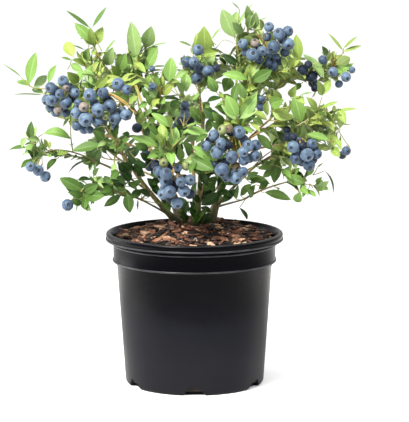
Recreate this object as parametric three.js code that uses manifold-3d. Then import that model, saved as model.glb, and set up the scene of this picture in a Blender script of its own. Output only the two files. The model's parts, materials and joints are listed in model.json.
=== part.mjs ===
// A fruiting highbush blueberry in its nursery pot, as an assembly of separate solids: pot, root ball,
// bark mulch, canes, boughs, and masses of foliage with their fruit fused on.
// Millimetres, +Z up. The origin is the centre of the pot's flat underside, and the front looks along -Y.

import * as THREE from 'three';
import { mergeVertices } from 'three/addons/utils/BufferGeometryUtils.js';
import Module from 'manifold-3d';

const wasm = await Module();
wasm.setup();

// ---- driving dimensions ----

const clearance = 0.3;          // running gap between solids that would touch

const pot = {
  height: 168, rimRadius: 97.5, lipHeight: 8.5, lipInnerRadius: 92.6,
  tuckRadius: 90.2, ridgeHeight: 155.5, ridgeProud: 1.0, bandRadius: 89.4,
  ledgeHeight: 136.5, wallTopRadius: 85.9, wallFootRadius: 76.6, baseRadius: 73.5, cornerHeight: 3.6,
  wall: 1.8, floor: 2.4, sides: 32,
};
const notch = { count: 6, footWidth: 25, topWidth: 10, height: 8, depth: 6 };
const mulch = {
  bottom: 150, edgeHeight: 159.5, crest: 176,
  footRadius: 86.4, edgeRadius: 87.4, shoulderRadius: 66, plateauRadius: 48, sides: 24,
  chips: 10, chipLength: 17, chipWidth: 8, chipThickness: 2.6, chipFirst: 34, chipBorder: 12, chipTilt: 24,
  chipSink: 0.3, seed: 411,
};

const leaf = { length: 40, width: 19, thickness: 1.2, fold: 0.14, droop: 0.08, spacing: 15, lean: 48 };
const berry = { radius: 7.2, pedicelRadius: 0.8, packing: 2.14 };
const twig = { stemRadius: 1.35, shootRadius: 1.1, sides: 3, leaving: 46, rise: 0.24 };
const stemRings = [0.25, 0.5, 0.75];        // places of the rings along a leading stem
const stalkRings = [0.3, 0.65];             // along the stalk of a fruit cluster
const shootRings = [0.5];                   // along a side shoot and a berry's own stalk
const limbDetail = {
  caneSides: 6, caneSteps: 5, boughSides: 5, boughSteps: 3, flare: 0.4, flareLength: 14, samples: 24,
};

// Side shoots stand from the first share of a stem over the run, and are longer low down than high up.
const shootRule = {
  first: 0.14, run: 0.78, lowest: 1.15, shrink: 0.45, shortest: 0.8, vary: 0.4, tries: 3, cutBack: 0.75,
};
const leafRule = { stemFirst: 0.22, shootFirst: 0.55, last: 0.88, young: 0.85, tries: 5, step: 1.3 };
const goldenTurn = 137.508;     // degrees between neighbouring side shoots round a stem
const leafTurn = 144;           // degrees between neighbouring leaves round a shoot
const cellMargin = 0.7;         // free width on each side of the border between two masses
const limbMargin = 2.4;         // free width between a limb's bark and a leaf
const leafGap = 3.6;            // and between two leaves
const twigGap = 2.2;            // and between a leaf and a twig that doesn't carry it
const berryGap = 0.6;           // and between a leaf and a berry
const up = new THREE.Vector3(0, 0, 1);

// Canes stand on the mulch: foot is their place on it, tip their upper end, and bow how far they arch
// upwards, as a share of their length. base and end are radii.
const canes = [
  { name: 'cane_left', foot: [-18, 12], tip: [-86, -38, 274], bow: -0.02, base: 4.4, end: 1.9 },
  { name: 'cane_mid_left', foot: [-12, 27], tip: [-58, -2, 300], bow: 0.03, base: 3.5, end: 1.6 },
  { name: 'cane_centre', foot: [3, 34], tip: [10, 16, 286], bow: 0, base: 3.3, end: 1.6 },
  { name: 'cane_right', foot: [18, 14], tip: [48, -11, 280], bow: 0.03, base: 4.6, end: 1.9 },
  { name: 'cane_back_left', foot: [-17, 42], tip: [-66, 82, 286], bow: 0.02, base: 3.6, end: 1.6 },
  { name: 'cane_back_right', foot: [17, 40], tip: [64, 74, 290], bow: 0.02, base: 3.8, end: 1.6 },
  { name: 'cane_back', foot: [1, 47], tip: [-4, 100, 268], bow: 0.04, base: 3.2, end: 1.5 },
  { name: 'basal_shoot', foot: [3, -4], tip: [5, -14, 192], bow: 0, base: 2.0, end: 1.4 },
];

// Boughs leave their cane at a share of its length.
const boughs = [
  { name: 'bough_low_left', from: 'cane_left', at: 0.1, tip: [-56, -24, 206], bow: 0.02,
    base: 1.8, end: 1.2 },
  { name: 'bough_left', from: 'cane_left', at: 0.46, tip: [-88, -20, 240], bow: 0.04,
    base: 1.8, end: 1.2 },
  { name: 'bough_left_mid', from: 'cane_left', at: 0.62, tip: [-77, -66, 262], bow: 0.02,
    base: 1.8, end: 1.3 },
  { name: 'bough_far_left', from: 'cane_left', at: 0.84, tip: [-112, -14, 306], bow: 0.04,
    base: 1.8, end: 1.3 },
  { name: 'bough_mid_left', from: 'cane_mid_left', at: 0.66, tip: [-38, -40, 304], bow: 0.02,
    base: 1.8, end: 1.3 },
  { name: 'bough_front_left', from: 'cane_mid_left', at: 0.36, tip: [-24, -58, 246], bow: 0.05,
    base: 2.0, end: 1.4 },
  { name: 'bough_top_left', from: 'cane_mid_left', at: 0.84, tip: [-86, 0, 332], bow: 0,
    base: 1.7, end: 1.3 },
  { name: 'bough_top', from: 'cane_centre', at: 0.8, tip: [6, -4, 322], bow: 0.02,
    base: 1.6, end: 1.3 },
  { name: 'bough_low_right', from: 'cane_right', at: 0.16, tip: [54, -28, 204], bow: 0,
    base: 1.7, end: 1.1 },
  { name: 'bough_right', from: 'cane_right', at: 0.42, tip: [62, -24, 240], bow: 0,
    base: 2.0, end: 1.3 },
  { name: 'bough_front_right', from: 'cane_right', at: 0.55, tip: [38, -66, 272], bow: 0.03,
    base: 2.0, end: 1.4 },
  { name: 'bough_right_inner', from: 'cane_right', at: 0.72, tip: [76, -54, 294], bow: 0.02,
    base: 1.7, end: 1.3 },
  { name: 'bough_right_upper', from: 'cane_right', at: 0.8, tip: [92, -10, 290], bow: 0.05,
    base: 1.9, end: 1.3 },
  { name: 'bough_crown_right', from: 'cane_right', at: 0.88, tip: [46, 12, 330], bow: 0,
    base: 1.7, end: 1.3 },
  { name: 'bough_top_right', from: 'cane_right', at: 0.95, tip: [90, 4, 326], bow: 0.02,
    base: 1.8, end: 1.3 },
  { name: 'bough_side_left', from: 'cane_back_left', at: 0.6, tip: [-112, 52, 272], bow: 0.05,
    base: 1.8, end: 1.3 },
  { name: 'bough_back_low_left', from: 'cane_back_left', at: 0.36, tip: [-74, 98, 228], bow: -0.02,
    base: 1.8, end: 1.2 },
  { name: 'bough_side_right', from: 'cane_back_right', at: 0.6, tip: [106, 46, 260], bow: 0.04,
    base: 1.8, end: 1.3 },
  { name: 'bough_back_low_right', from: 'cane_back_right', at: 0.36, tip: [78, 96, 232], bow: -0.02,
    base: 1.8, end: 1.2 },
  { name: 'bough_crown_back', from: 'cane_back', at: 0.74, tip: [4, 72, 308], bow: -0.02,
    base: 1.7, end: 1.3 },
];

// A mass grows from the tip of its limb: tip is the end of its leading stem, spread the reach of its side
// shoots, and each cluster of fruit has a centre, a number of berries and half widths across and up.
const masses = [
  { name: 'foliage_low_shoot', on: 'basal_shoot', tip: [14, -52, 251],
    shoots: 4, spread: 32, seed: 12, fruit: [] },
  { name: 'foliage_low_left', on: 'bough_low_left', tip: [-126, -62, 228],
    shoots: 6, spread: 28, seed: 2,
    fruit: [{ at: [-136, -72, 208], count: 1, wide: 1, tall: 1 }] },
  { name: 'foliage_far_left_low', on: 'bough_left', tip: [-174, -42, 262],
    shoots: 6, spread: 28, seed: 39,
    fruit: [{ at: [-170, -50, 243], count: 3, wide: 13, tall: 8 }] },
  { name: 'foliage_left_mid', on: 'bough_left_mid', tip: [-88, -100, 258],
    shoots: 5, spread: 28, seed: 4, fruit: [] },
  { name: 'foliage_far_left', on: 'bough_far_left', tip: [-174, -20, 340],
    shoots: 5, spread: 26, seed: 35, fruit: [] },
  { name: 'foliage_left', on: 'cane_left', tip: [-112, -64, 334],
    shoots: 6, spread: 34, seed: 6,
    fruit: [
      { at: [-144, -78, 324], count: 6, wide: 16, tall: 17 },
      { at: [-110, -92, 315], count: 8, wide: 19, tall: 19 },
      { at: [-78, -74, 322], count: 5, wide: 15, tall: 15 },
    ] },
  { name: 'foliage_mid_left', on: 'bough_mid_left', tip: [-36, -58, 334],
    shoots: 6, spread: 38, seed: 38,
    fruit: [{ at: [-46, -62, 344], count: 2, wide: 3, tall: 9 }] },
  { name: 'foliage_front_left', on: 'bough_front_left', tip: [-22, -108, 286],
    shoots: 5, spread: 32, seed: 8,
    fruit: [{ at: [-22, -88, 231], count: 8, wide: 17, tall: 18 }] },
  { name: 'foliage_top_left', on: 'bough_top_left', tip: [-114, -6, 382],
    shoots: 5, spread: 30, seed: 9, fruit: [] },
  { name: 'foliage_tall_left', on: 'cane_mid_left', tip: [-60, 4, 372],
    shoots: 5, spread: 32, seed: 10, fruit: [] },
  { name: 'foliage_top', on: 'bough_top', tip: [8, 0, 356],
    shoots: 4, spread: 28, seed: 37,
    fruit: [{ at: [2, -30, 352], count: 5, wide: 15, tall: 15 }] },
  { name: 'foliage_centre', on: 'cane_centre', tip: [-4, 36, 338],
    shoots: 4, spread: 34, seed: 13, fruit: [] },
  { name: 'foliage_front_right', on: 'bough_front_right', tip: [46, -92, 326],
    shoots: 6, spread: 34, seed: 14,
    fruit: [{ at: [42, -100, 268], count: 11, wide: 23, tall: 20 }] },
  { name: 'foliage_crown_right', on: 'bough_crown_right', tip: [46, 12, 386],
    shoots: 6, spread: 30, seed: 31, fruit: [] },
  { name: 'foliage_right', on: 'cane_right', tip: [76, -20, 350],
    shoots: 5, spread: 34, seed: 16,
    fruit: [
      { at: [92, -30, 382], count: 5, wide: 15, tall: 17 },
      { at: [64, -38, 362], count: 3, wide: 12, tall: 10 },
    ] },
  { name: 'foliage_top_right', on: 'bough_top_right', tip: [154, -4, 346],
    shoots: 5, spread: 30, seed: 17,
    fruit: [
      { at: [122, -22, 349], count: 3, wide: 11, tall: 11 },
      { at: [154, -26, 343], count: 3, wide: 11, tall: 13 },
    ] },
  { name: 'foliage_far_right', on: 'bough_right_upper', tip: [140, -26, 288],
    shoots: 5, spread: 30, seed: 18, fruit: [] },
  { name: 'foliage_right_inner', on: 'bough_right_inner', tip: [98, -68, 318],
    shoots: 4, spread: 30, seed: 19, fruit: [] },
  { name: 'foliage_right_mid', on: 'bough_right', tip: [120, -64, 276],
    shoots: 6, spread: 32, seed: 20,
    fruit: [{ at: [114, -74, 268], count: 5, wide: 17, tall: 17 }] },
  { name: 'foliage_low_right', on: 'bough_low_right', tip: [126, -60, 238],
    shoots: 6, spread: 30, seed: 41, fruit: [] },
  { name: 'foliage_back_left', on: 'cane_back_left', tip: [-84, 92, 346],
    shoots: 6, spread: 38, seed: 22,
    fruit: [{ at: [-92, 122, 334], count: 5, wide: 18, tall: 16 }] },
  { name: 'foliage_back_right', on: 'cane_back_right', tip: [86, 90, 348],
    shoots: 6, spread: 38, seed: 23,
    fruit: [{ at: [98, 112, 338], count: 5, wide: 18, tall: 16 }] },
  { name: 'foliage_back', on: 'cane_back', tip: [-8, 140, 296],
    shoots: 6, spread: 36, seed: 24,
    fruit: [{ at: [-18, 138, 270], count: 6, wide: 18, tall: 17 }] },
  { name: 'foliage_side_left', on: 'bough_side_left', tip: [-154, 58, 308],
    shoots: 5, spread: 32, seed: 25,
    fruit: [{ at: [-156, 70, 292], count: 4, wide: 14, tall: 12 }] },
  { name: 'foliage_side_right', on: 'bough_side_right', tip: [136, 54, 292],
    shoots: 5, spread: 32, seed: 26,
    fruit: [{ at: [136, 68, 278], count: 4, wide: 14, tall: 12 }] },
  { name: 'foliage_back_low_left', on: 'bough_back_low_left', tip: [-108, 126, 248],
    shoots: 5, spread: 32, seed: 27, fruit: [] },
  { name: 'foliage_back_low_right', on: 'bough_back_low_right', tip: [108, 124, 252],
    shoots: 5, spread: 32, seed: 28, fruit: [] },
  { name: 'foliage_crown_back', on: 'bough_crown_back', tip: [4, 80, 364],
    shoots: 4, spread: 34, seed: 29, fruit: [] },
];

// ---- helpers ----

// A repeatable run of numbers from 0 to 1 for each seed.
function makeRandom(seed) {
  let state = seed * 7919 + 104729;
  return () => {
    state = (state * 16807) % 2147483647;
    return state / 2147483647;
  };
}

function radians(degrees) {
  return degrees * Math.PI / 180;
}

function vector(place) {
  return new THREE.Vector3(...place);
}

// A closed three.js geometry as a solid that can be joined and cut.
function solid(geometry) {
  const bare = geometry.index ? geometry.toNonIndexed() : geometry.clone();
  bare.deleteAttribute('normal');
  bare.deleteAttribute('uv');
  const merged = mergeVertices(bare, 1e-4);
  return new wasm.Manifold(new wasm.Mesh({
    numProp: 3,
    vertProperties: new Float32Array(merged.attributes.position.array),
    triVerts: new Uint32Array(merged.index.array),
  }));
}

// The main body of a solid as a geometry: loose scraps and sealed hollows are left out.
function mainBody(joined) {
  const bodies = joined.decompose();
  bodies.sort((a, b) => b.volume() - a.volume());
  const mesh = bodies[0].getMesh();
  const geometry = new THREE.BufferGeometry();
  geometry.setAttribute('position', new THREE.BufferAttribute(mesh.vertProperties, 3));
  geometry.setIndex(new THREE.BufferAttribute(mesh.triVerts, 1));
  return geometry;
}

function join(solids) {
  return solids.reduce((whole, next) => whole.add(next));
}

// Two axes square to a direction, steady from one ring to the next.
function crossAxes(tangent, reference) {
  const side = new THREE.Vector3().crossVectors(tangent, reference).normalize();
  return [side, new THREE.Vector3().crossVectors(side, tangent)];
}

// Any direction well away from a curve's own.
function awayFrom(tangent) {
  const reference = Math.abs(tangent.y) < 0.8 ? new THREE.Vector3(0, 1, 0) : new THREE.Vector3(1, 0, 0);
  return crossAxes(tangent, reference)[0];
}

// Bends a cylinder or cone of height 1 along a curve. radiusAt gives its radius at a share of the curve,
// and flatFoot turns the first ring level.
function bend(geometry, curve, radiusAt, flatFoot = false) {
  const reference = awayFrom(curve.getTangent(0.5));
  const place = geometry.attributes.position;
  for (let i = 0; i < place.count; i += 1) {
    const share = Math.min(1, Math.max(0, place.getY(i) + 0.5));
    const tangent = flatFoot && share < 1e-6 ? up : curve.getTangent(share);
    const [across, over] = crossAxes(tangent, reference);
    const reach = Math.hypot(place.getX(i), place.getZ(i));
    const point = curve.getPoint(share);
    if (reach > 1e-6) {
      const radius = radiusAt(share) / reach;
      point.addScaledVector(across, place.getX(i) * radius);
      point.addScaledVector(over, place.getZ(i) * radius);
    }
    place.setXYZ(i, point.x, point.y, point.z);
  }
  return geometry;
}

function bentCylinder(curve, radiusAt, sides, steps, flatFoot) {
  return solid(bend(new THREE.CylinderGeometry(1, 1, 1, sides, steps), curve, radiusAt, flatFoot));
}

// A stem: three-sided, with a flat foot, thinning towards a point at its tip.
function stemSolid(curve, radius) {
  const cone = new THREE.ConeGeometry(1, 1, twig.sides, stemRings.length + 1);
  return solid(bend(cone, curve, (share) => radius * (1 - 0.45 * share)));
}

// A spindle: three-sided, pointed at both ends, so that its root sinks into what carries it. shares are
// the places of its rings along the curve.
function spindleSolid(curve, radius, shares) {
  const ball = new THREE.SphereGeometry(1, twig.sides, shares.length + 1);
  const place = ball.attributes.position;
  const stops = [0, ...shares, 1];
  for (let i = 0; i < place.count; i += 1) {
    const stop = (1 - Math.acos(Math.max(-1, Math.min(1, place.getY(i)))) / Math.PI) * (stops.length - 1);
    place.setY(i, stops[Math.round(stop)] - 0.5);
  }
  return solid(bend(ball, curve, (share) => radius * (1.1 - 0.45 * share)));
}

// The place at a share of a curve, on the straight stretches between its rings.
function onSpine(curve, shares, share) {
  const stops = [0, ...shares, 1];
  const next = Math.max(1, stops.findIndex((stop) => stop >= share));
  const part = (share - stops[next - 1]) / (stops[next] - stops[next - 1]);
  return curve.getPoint(stops[next - 1]).lerp(curve.getPoint(stops[next]), part);
}

function arch(start, tip, bow) {
  const middle = start.clone().lerp(tip, 0.5);
  middle.addScaledVector(up, bow * start.distanceTo(tip));
  return new THREE.QuadraticBezierCurve3(start, middle, tip);
}

// ---- pot, root ball and mulch ----

// Outer wall from the foot to the lip, as radius and height.
function potOuterProfile() {
  const lipFoot = pot.height - pot.lipHeight;
  return [
    [pot.baseRadius, 0],
    [pot.wallFootRadius, pot.cornerHeight],
    [pot.wallTopRadius, pot.ledgeHeight - 1],
    [pot.bandRadius - 0.6, pot.ledgeHeight + 0.6],
    [pot.bandRadius, pot.ridgeHeight - 1.2],
    [pot.bandRadius + pot.ridgeProud, pot.ridgeHeight],
    [pot.tuckRadius, pot.ridgeHeight + 1.4],
    [pot.tuckRadius, lipFoot - 0.4],
    [pot.rimRadius - 1.2, lipFoot],
    [pot.rimRadius, lipFoot + 1.8],
    [pot.rimRadius, pot.height - 2.4],
    [pot.rimRadius - 1.6, pot.height - 0.5],
    [pot.lipInnerRadius + 1, pot.height],
  ];
}

// Inner wall from the lip down to the floor.
function potInnerProfile() {
  return [
    [pot.tuckRadius - pot.wall, pot.height - pot.lipHeight + 1],
    [pot.bandRadius - pot.wall - 0.4, pot.ledgeHeight + 1.6],
    [pot.wallTopRadius - pot.wall, pot.ledgeHeight - 1],
    [pot.wallFootRadius - pot.wall, pot.cornerHeight + 2],
    [pot.baseRadius - 1, pot.floor],
  ];
}

function lathe(profile, sides) {
  const points = profile.map(([radius, height]) => new THREE.Vector2(radius, height));
  const geometry = new THREE.LatheGeometry(points, sides);
  geometry.rotateX(Math.PI / 2);
  return solid(geometry);
}

// A foot notch: a trapezoid pushed through the corner of wall and floor.
function notchCutter() {
  const outline = new THREE.Shape();
  outline.moveTo(-notch.footWidth / 2, -1);
  outline.lineTo(notch.footWidth / 2, -1);
  outline.lineTo(notch.topWidth / 2, notch.height);
  outline.lineTo(-notch.topWidth / 2, notch.height);
  outline.closePath();
  const geometry = new THREE.ExtrudeGeometry(outline, { depth: notch.depth * 2.5, bevelEnabled: false });
  geometry.rotateX(Math.PI / 2);
  geometry.translate(0, -(pot.baseRadius - notch.depth), 0);
  return geometry;
}

function makePot() {
  const profile = [[0, 0], ...potOuterProfile(), ...potInnerProfile(), [0, pot.floor]];
  let body = lathe(profile, pot.sides);
  for (let i = 0; i < notch.count; i += 1) {
    const cutter = notchCutter();
    cutter.rotateZ(i * 2 * Math.PI / notch.count);
    body = body.subtract(solid(cutter));
  }
  return mainBody(body);
}

// The root ball fills the pot up to the mulch, a running gap inside the wall. Its foot stays behind the
// notches.
function makeRootBall() {
  const [, band, ledge, corner, foot] = potInnerProfile();
  const wall = [corner, ledge, band].map(([radius, height]) => [radius - clearance, height]);
  const footRadius = pot.baseRadius - notch.depth - 1;
  return mainBody(lathe([
    [0, pot.floor],
    [footRadius, foot[1]],
    ...wall,
    [band[0] - clearance, mulch.bottom],
    [0, mulch.bottom],
  ], pot.sides));
}

// Height of the mulch at a distance from the middle.
function mulchHeight(radius) {
  if (radius <= mulch.plateauRadius) return mulch.crest;
  const share = (radius - mulch.plateauRadius) / (mulch.edgeRadius - mulch.plateauRadius);
  return mulch.crest - (mulch.crest - mulch.edgeHeight) * share ** 1.2;
}

function makeMulch(limbs) {
  const { footRadius, edgeRadius, shoulderRadius, plateauRadius } = mulch;
  const slope = [edgeRadius, (edgeRadius + shoulderRadius) / 2, shoulderRadius, plateauRadius];
  const bed = lathe([
    [0, mulch.bottom],
    [footRadius, mulch.bottom],
    ...slope.map((radius) => [radius, mulchHeight(radius)]),
    [0, mulch.crest],
  ], mulch.sides);
  const random = makeRandom(mulch.seed);
  const pieces = [bed];
  for (let i = 0; i < mulch.chips; i += 1) {
    const reach = edgeRadius - mulch.chipBorder - mulch.chipFirst;
    const radius = mulch.chipFirst + reach * Math.sqrt((i + 0.5) / mulch.chips);
    const turn = radians(i * goldenTurn);
    const size = 0.7 + 0.6 * random();
    const chip = new THREE.BoxGeometry(mulch.chipLength * size, mulch.chipWidth * size, mulch.chipThickness);
    chip.rotateX(radians(mulch.chipTilt * (random() - 0.5)));
    chip.rotateY(radians(mulch.chipTilt * (random() - 0.5)));
    chip.rotateZ(Math.PI * random());
    const height = mulchHeight(radius) - mulch.chipSink;
    const centre = new THREE.Vector3(radius * Math.cos(turn), radius * Math.sin(turn), height);
    chip.translate(centre.x, centre.y, centre.z);
    if (clearOfLimbs([centre], limbs, mulch.chipLength * 0.75)) pieces.push(solid(chip));
  }
  return mainBody(join(pieces));
}

// ---- canes and boughs ----

function limbRadius(limb, share) {
  const taper = limb.base + (limb.end - limb.base) * share;
  const flare = limb.foot ? limbDetail.flare * Math.exp(-share * limb.length / limbDetail.flareLength) : 0;
  return taper * (1 + flare);
}

// Every limb with its curve, in the order that parents come before what they carry.
function layOutLimbs() {
  const limbs = new Map();
  for (const cane of canes) {
    const curve = arch(new THREE.Vector3(...cane.foot, mulch.crest), vector(cane.tip), cane.bow);
    limbs.set(cane.name, { ...cane, curve, length: curve.getLength() });
  }
  for (const bough of boughs) {
    const parent = limbs.get(bough.from);
    const curve = arch(parent.curve.getPoint(bough.at), vector(bough.tip), bough.bow);
    limbs.set(bough.name, { ...bough, parent, curve, length: curve.getLength() });
  }
  for (const limb of limbs.values()) limb.points = limb.curve.getPoints(limbDetail.samples);
  return limbs;
}

// A cane stands on a flat level cut, and a bough's foot is saddled round its parent.
function makeLimb(limb) {
  const isCane = Boolean(limb.foot);
  const sides = isCane ? limbDetail.caneSides : limbDetail.boughSides;
  const steps = isCane ? limbDetail.caneSteps : limbDetail.boughSteps;
  const body = bentCylinder(limb.curve, (share) => limbRadius(limb, share), sides, steps, isCane);
  if (isCane) return mainBody(body);
  const { parent } = limb;
  const room = bentCylinder(parent.curve, (share) => limbRadius(parent, share) + clearance * 1.15,
    limbDetail.caneSides, limbDetail.caneSteps, true);
  return mainBody(body.subtract(room));
}

// True where every point lies clear of the bark of every limb by a margin.
function clearOfLimbs(points, limbs, margin) {
  for (const limb of limbs.values()) {
    for (let i = 0; i < limb.points.length; i += 1) {
      const reach = limbRadius(limb, i / (limb.points.length - 1)) + margin;
      for (const point of points) {
        if (point.distanceToSquared(limb.points[i]) < reach * reach) return false;
      }
    }
  }
  return true;
}

// ---- foliage: the growing rule ----

// The leading stem of a mass, from just clear of its limb's tip.
function leadingStem(mass, limbs) {
  const limb = limbs.get(mass.on);
  const heading = limb.curve.getTangent(1);
  const start = limb.curve.getPoint(1).addScaledVector(heading, clearance);
  const tip = vector(mass.tip);
  const bendPoint = start.clone().addScaledVector(heading, 0.4 * start.distanceTo(tip));
  return new THREE.QuadraticBezierCurve3(start, bendPoint, tip);
}

// The space of a mass is what lies nearer to its own stem and fruit than to any other mass's.
function layOutSpaces(limbs) {
  return masses.map((mass) => {
    const stem = leadingStem(mass, limbs);
    const sites = stem.getPoints(5);
    for (const cluster of mass.fruit) sites.push(vector(cluster.at));
    return { mass, stem, sites };
  });
}

function inOwnSpace(points, own, spaces) {
  return points.every((point) => {
    const nearest = Math.min(...own.sites.map((site) => site.distanceTo(point)));
    return spaces.every((other) => other === own
      || other.sites.every((site) => borderDistance(point, own.sites, nearest, site) > cellMargin));
  });
}

// How far a point lies on the near side of the border between its own nearest site and another.
function borderDistance(point, ownSites, nearest, site) {
  const home = ownSites.find((own) => Math.abs(own.distanceTo(point) - nearest) < 1e-9);
  const gap = home.distanceTo(site);
  return (site.distanceToSquared(point) - nearest * nearest) / (2 * gap);
}

// A side shoot leaves its stem at a slant and curves upwards.
function sideShoot(stem, share, turn, length) {
  const start = onSpine(stem, stemRings, share);
  const tangent = stem.getTangent(share);
  const [across, over] = crossAxes(tangent, awayFrom(tangent));
  const slant = radians(twig.leaving);
  const heading = across.multiplyScalar(Math.cos(turn)).addScaledVector(over, Math.sin(turn));
  heading.multiplyScalar(Math.sin(slant)).addScaledVector(tangent, Math.cos(slant));
  const bendPoint = start.clone().addScaledVector(heading, 0.5 * length);
  const tip = start.clone().addScaledVector(heading, 0.92 * length).addScaledVector(up, twig.rise * length);
  return new THREE.QuadraticBezierCurve3(start, bendPoint, tip);
}

function growShoots(own, spaces, limbs) {
  const { mass, stem } = own;
  const random = makeRandom(mass.seed);
  const shoots = [];
  for (let i = 0; i < mass.shoots; i += 1) {
    const share = shootRule.first + shootRule.run * (i + 0.5) / mass.shoots;
    const turn = radians(i * goldenTurn + 40 * random() + mass.seed * 50);
    const fullLength = mass.spread * (shootRule.lowest - shootRule.shrink * share);
    let length = fullLength * (shootRule.shortest + shootRule.vary * random());
    for (let attempt = 0; attempt < shootRule.tries; attempt += 1) {
      const shoot = sideShoot(stem, share, turn, length);
      const probes = shoot.getPoints(6).slice(2);
      if (inOwnSpace(probes, own, spaces) && clearOfLimbs(probes, limbs, limbMargin)) {
        shoots.push(shoot);
        break;
      }
      length *= shootRule.cutBack;
    }
  }
  return shoots;
}

// A leaf's own axes: along its blade, across it, and its upper side, which faces the shoot's tip, the sky
// and away from the middle of the plant.
function leafAxes(place, tangent, turn, lean, roll) {
  const [side, over] = crossAxes(tangent, awayFrom(tangent));
  const along = side.multiplyScalar(Math.cos(turn)).addScaledVector(over, Math.sin(turn));
  along.multiplyScalar(Math.sin(lean)).addScaledVector(tangent, Math.cos(lean)).normalize();
  const outward = new THREE.Vector3(place.x, place.y, 0).normalize();
  const face = tangent.clone().multiplyScalar(0.5).addScaledVector(up, 0.55).addScaledVector(outward, 0.8);
  face.addScaledVector(along, -face.dot(along)).normalize();
  const across = new THREE.Vector3().crossVectors(face, along);
  face.multiplyScalar(Math.cos(roll)).addScaledVector(across, Math.sin(roll));
  across.crossVectors(face, along);
  return { along, across, face };
}

// The five corners of a leaf blade: root, tip, both raised edges, and the keel under its midrib.
function leafCorners(root, axes, length, width) {
  const at = (far, aside, raised) => root.clone()
    .addScaledVector(axes.along, far)
    .addScaledVector(axes.across, aside)
    .addScaledVector(axes.face, raised);
  return {
    root,
    tip: at(length, 0, -leaf.droop * length),
    left: at(0.44 * length, width / 2, leaf.fold * width),
    right: at(0.44 * length, -width / 2, leaf.fold * width),
    keel: at(0.22 * length, 0, -leaf.thickness),
  };
}

// Points along a leaf's edges and midrib that stand for it when its room is tested.
function leafProbes(corners) {
  const { root, tip, left, right } = corners;
  const between = (from, to, shares) => shares.map((share) => from.clone().lerp(to, share));
  return [
    tip, left, right,
    ...between(root, tip, [0.25, 0.5, 0.75]),
    ...between(left, tip, [0.35, 0.7]),
    ...between(right, tip, [0.35, 0.7]),
    ...between(left, root, [0.45]),
    ...between(right, root, [0.45]),
    ...between(left, right, [0.25, 0.75]),
  ];
}

// Where the leaves of a shoot stand: shares of its length, the last one near its tip.
function leafShares(shoot, isStem) {
  const reach = shoot.getLength();
  const first = isStem ? leafRule.stemFirst * reach : leafRule.shootFirst * leaf.spacing;
  const count = Math.max(2, Math.round((reach - first) / leaf.spacing) + 1);
  const shares = [];
  for (let i = 0; i < count; i += 1) {
    shares.push(Math.min(leafRule.last, (first + (reach - first) * i / (count - 1)) / reach));
  }
  return shares;
}

function growLeaves(own, shoots, berries, spaces, limbs) {
  const random = makeRandom(own.mass.seed + 500);
  const twigs = [own.stem, ...shoots];
  const leaves = [];
  const taken = [];
  const hasRoom = (probes, others) => inOwnSpace(probes, own, spaces)
    && clearOfLimbs(probes, limbs, limbMargin)
    && clearOfBerries(probes, berries)
    && clearOf(probes, others, twigGap)
    && clearOf(probes, taken, leafGap)
    && probes.every((probe) => probe.z > mulch.crest + 4);
  for (const shoot of twigs) {
    const others = twigs.filter((other) => other !== shoot).flatMap((other) => other.getPoints(8));
    const isStem = shoot === own.stem;
    const shares = leafShares(shoot, isStem);
    for (const [i, share] of shares.entries()) {
      const isLast = i === shares.length - 1;
      const length = leaf.length * (0.86 + 0.28 * random()) * (isLast ? leafRule.young : 1);
      const lean = radians(isLast ? leaf.lean * 0.4 : leaf.lean);
      const roll = radians(40 * (random() - 0.5));
      const start = radians(i * leafTurn + 72 * random() + own.mass.seed * 33);
      const root = onSpine(shoot, isStem ? stemRings : shootRings, share);
      const tangent = shoot.getTangent(share);
      for (let attempt = 0; attempt < leafRule.tries; attempt += 1) {
        const axes = leafAxes(root, tangent, start + attempt * leafRule.step, lean, roll);
        const corners = leafCorners(root, axes, length, leaf.width * length / leaf.length);
        const probes = leafProbes(corners);
        if (hasRoom(probes, others)) {
          leaves.push(corners);
          taken.push(...probes);
          break;
        }
      }
    }
  }
  return leaves;
}

function clearOf(points, others, margin) {
  return others.every((other) => points.every((point) => point.distanceTo(other) > margin));
}

function clearOfBerries(points, berries) {
  const reach = berry.radius + berryGap;
  return berries.every(({ centre }) => points.every((point) => point.distanceTo(centre) > reach));
}

// Berries spread round the middle of their cluster and push apart until none piles on another.
function packBerries(cluster) {
  const centre = vector(cluster.at);
  const places = [];
  for (let i = 0; i < cluster.count; i += 1) {
    const height = 1 - 2 * (i + 0.5) / cluster.count;
    const ring = Math.sqrt(1 - height * height);
    const turn = radians(i * goldenTurn);
    const spot = new THREE.Vector3(ring * Math.cos(turn) * cluster.wide, ring * Math.sin(turn) * cluster.wide,
      height * cluster.tall);
    places.push(spot.multiplyScalar(cluster.count === 1 ? 0 : 0.75));
  }
  const gap = berry.radius * berry.packing;
  for (let pass = 0; pass < 60; pass += 1) {
    for (let i = 0; i < places.length; i += 1) {
      for (let j = i + 1; j < places.length; j += 1) {
        const apart = places[j].clone().sub(places[i]);
        const distance = apart.length();
        if (distance < gap) {
          apart.multiplyScalar((gap - distance) / (2 * distance + 1e-6));
          places[i].sub(apart);
          places[j].add(apart);
        }
      }
      places[i].multiplyScalar(0.992);
    }
  }
  return places.map((place) => place.add(centre));
}

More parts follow.
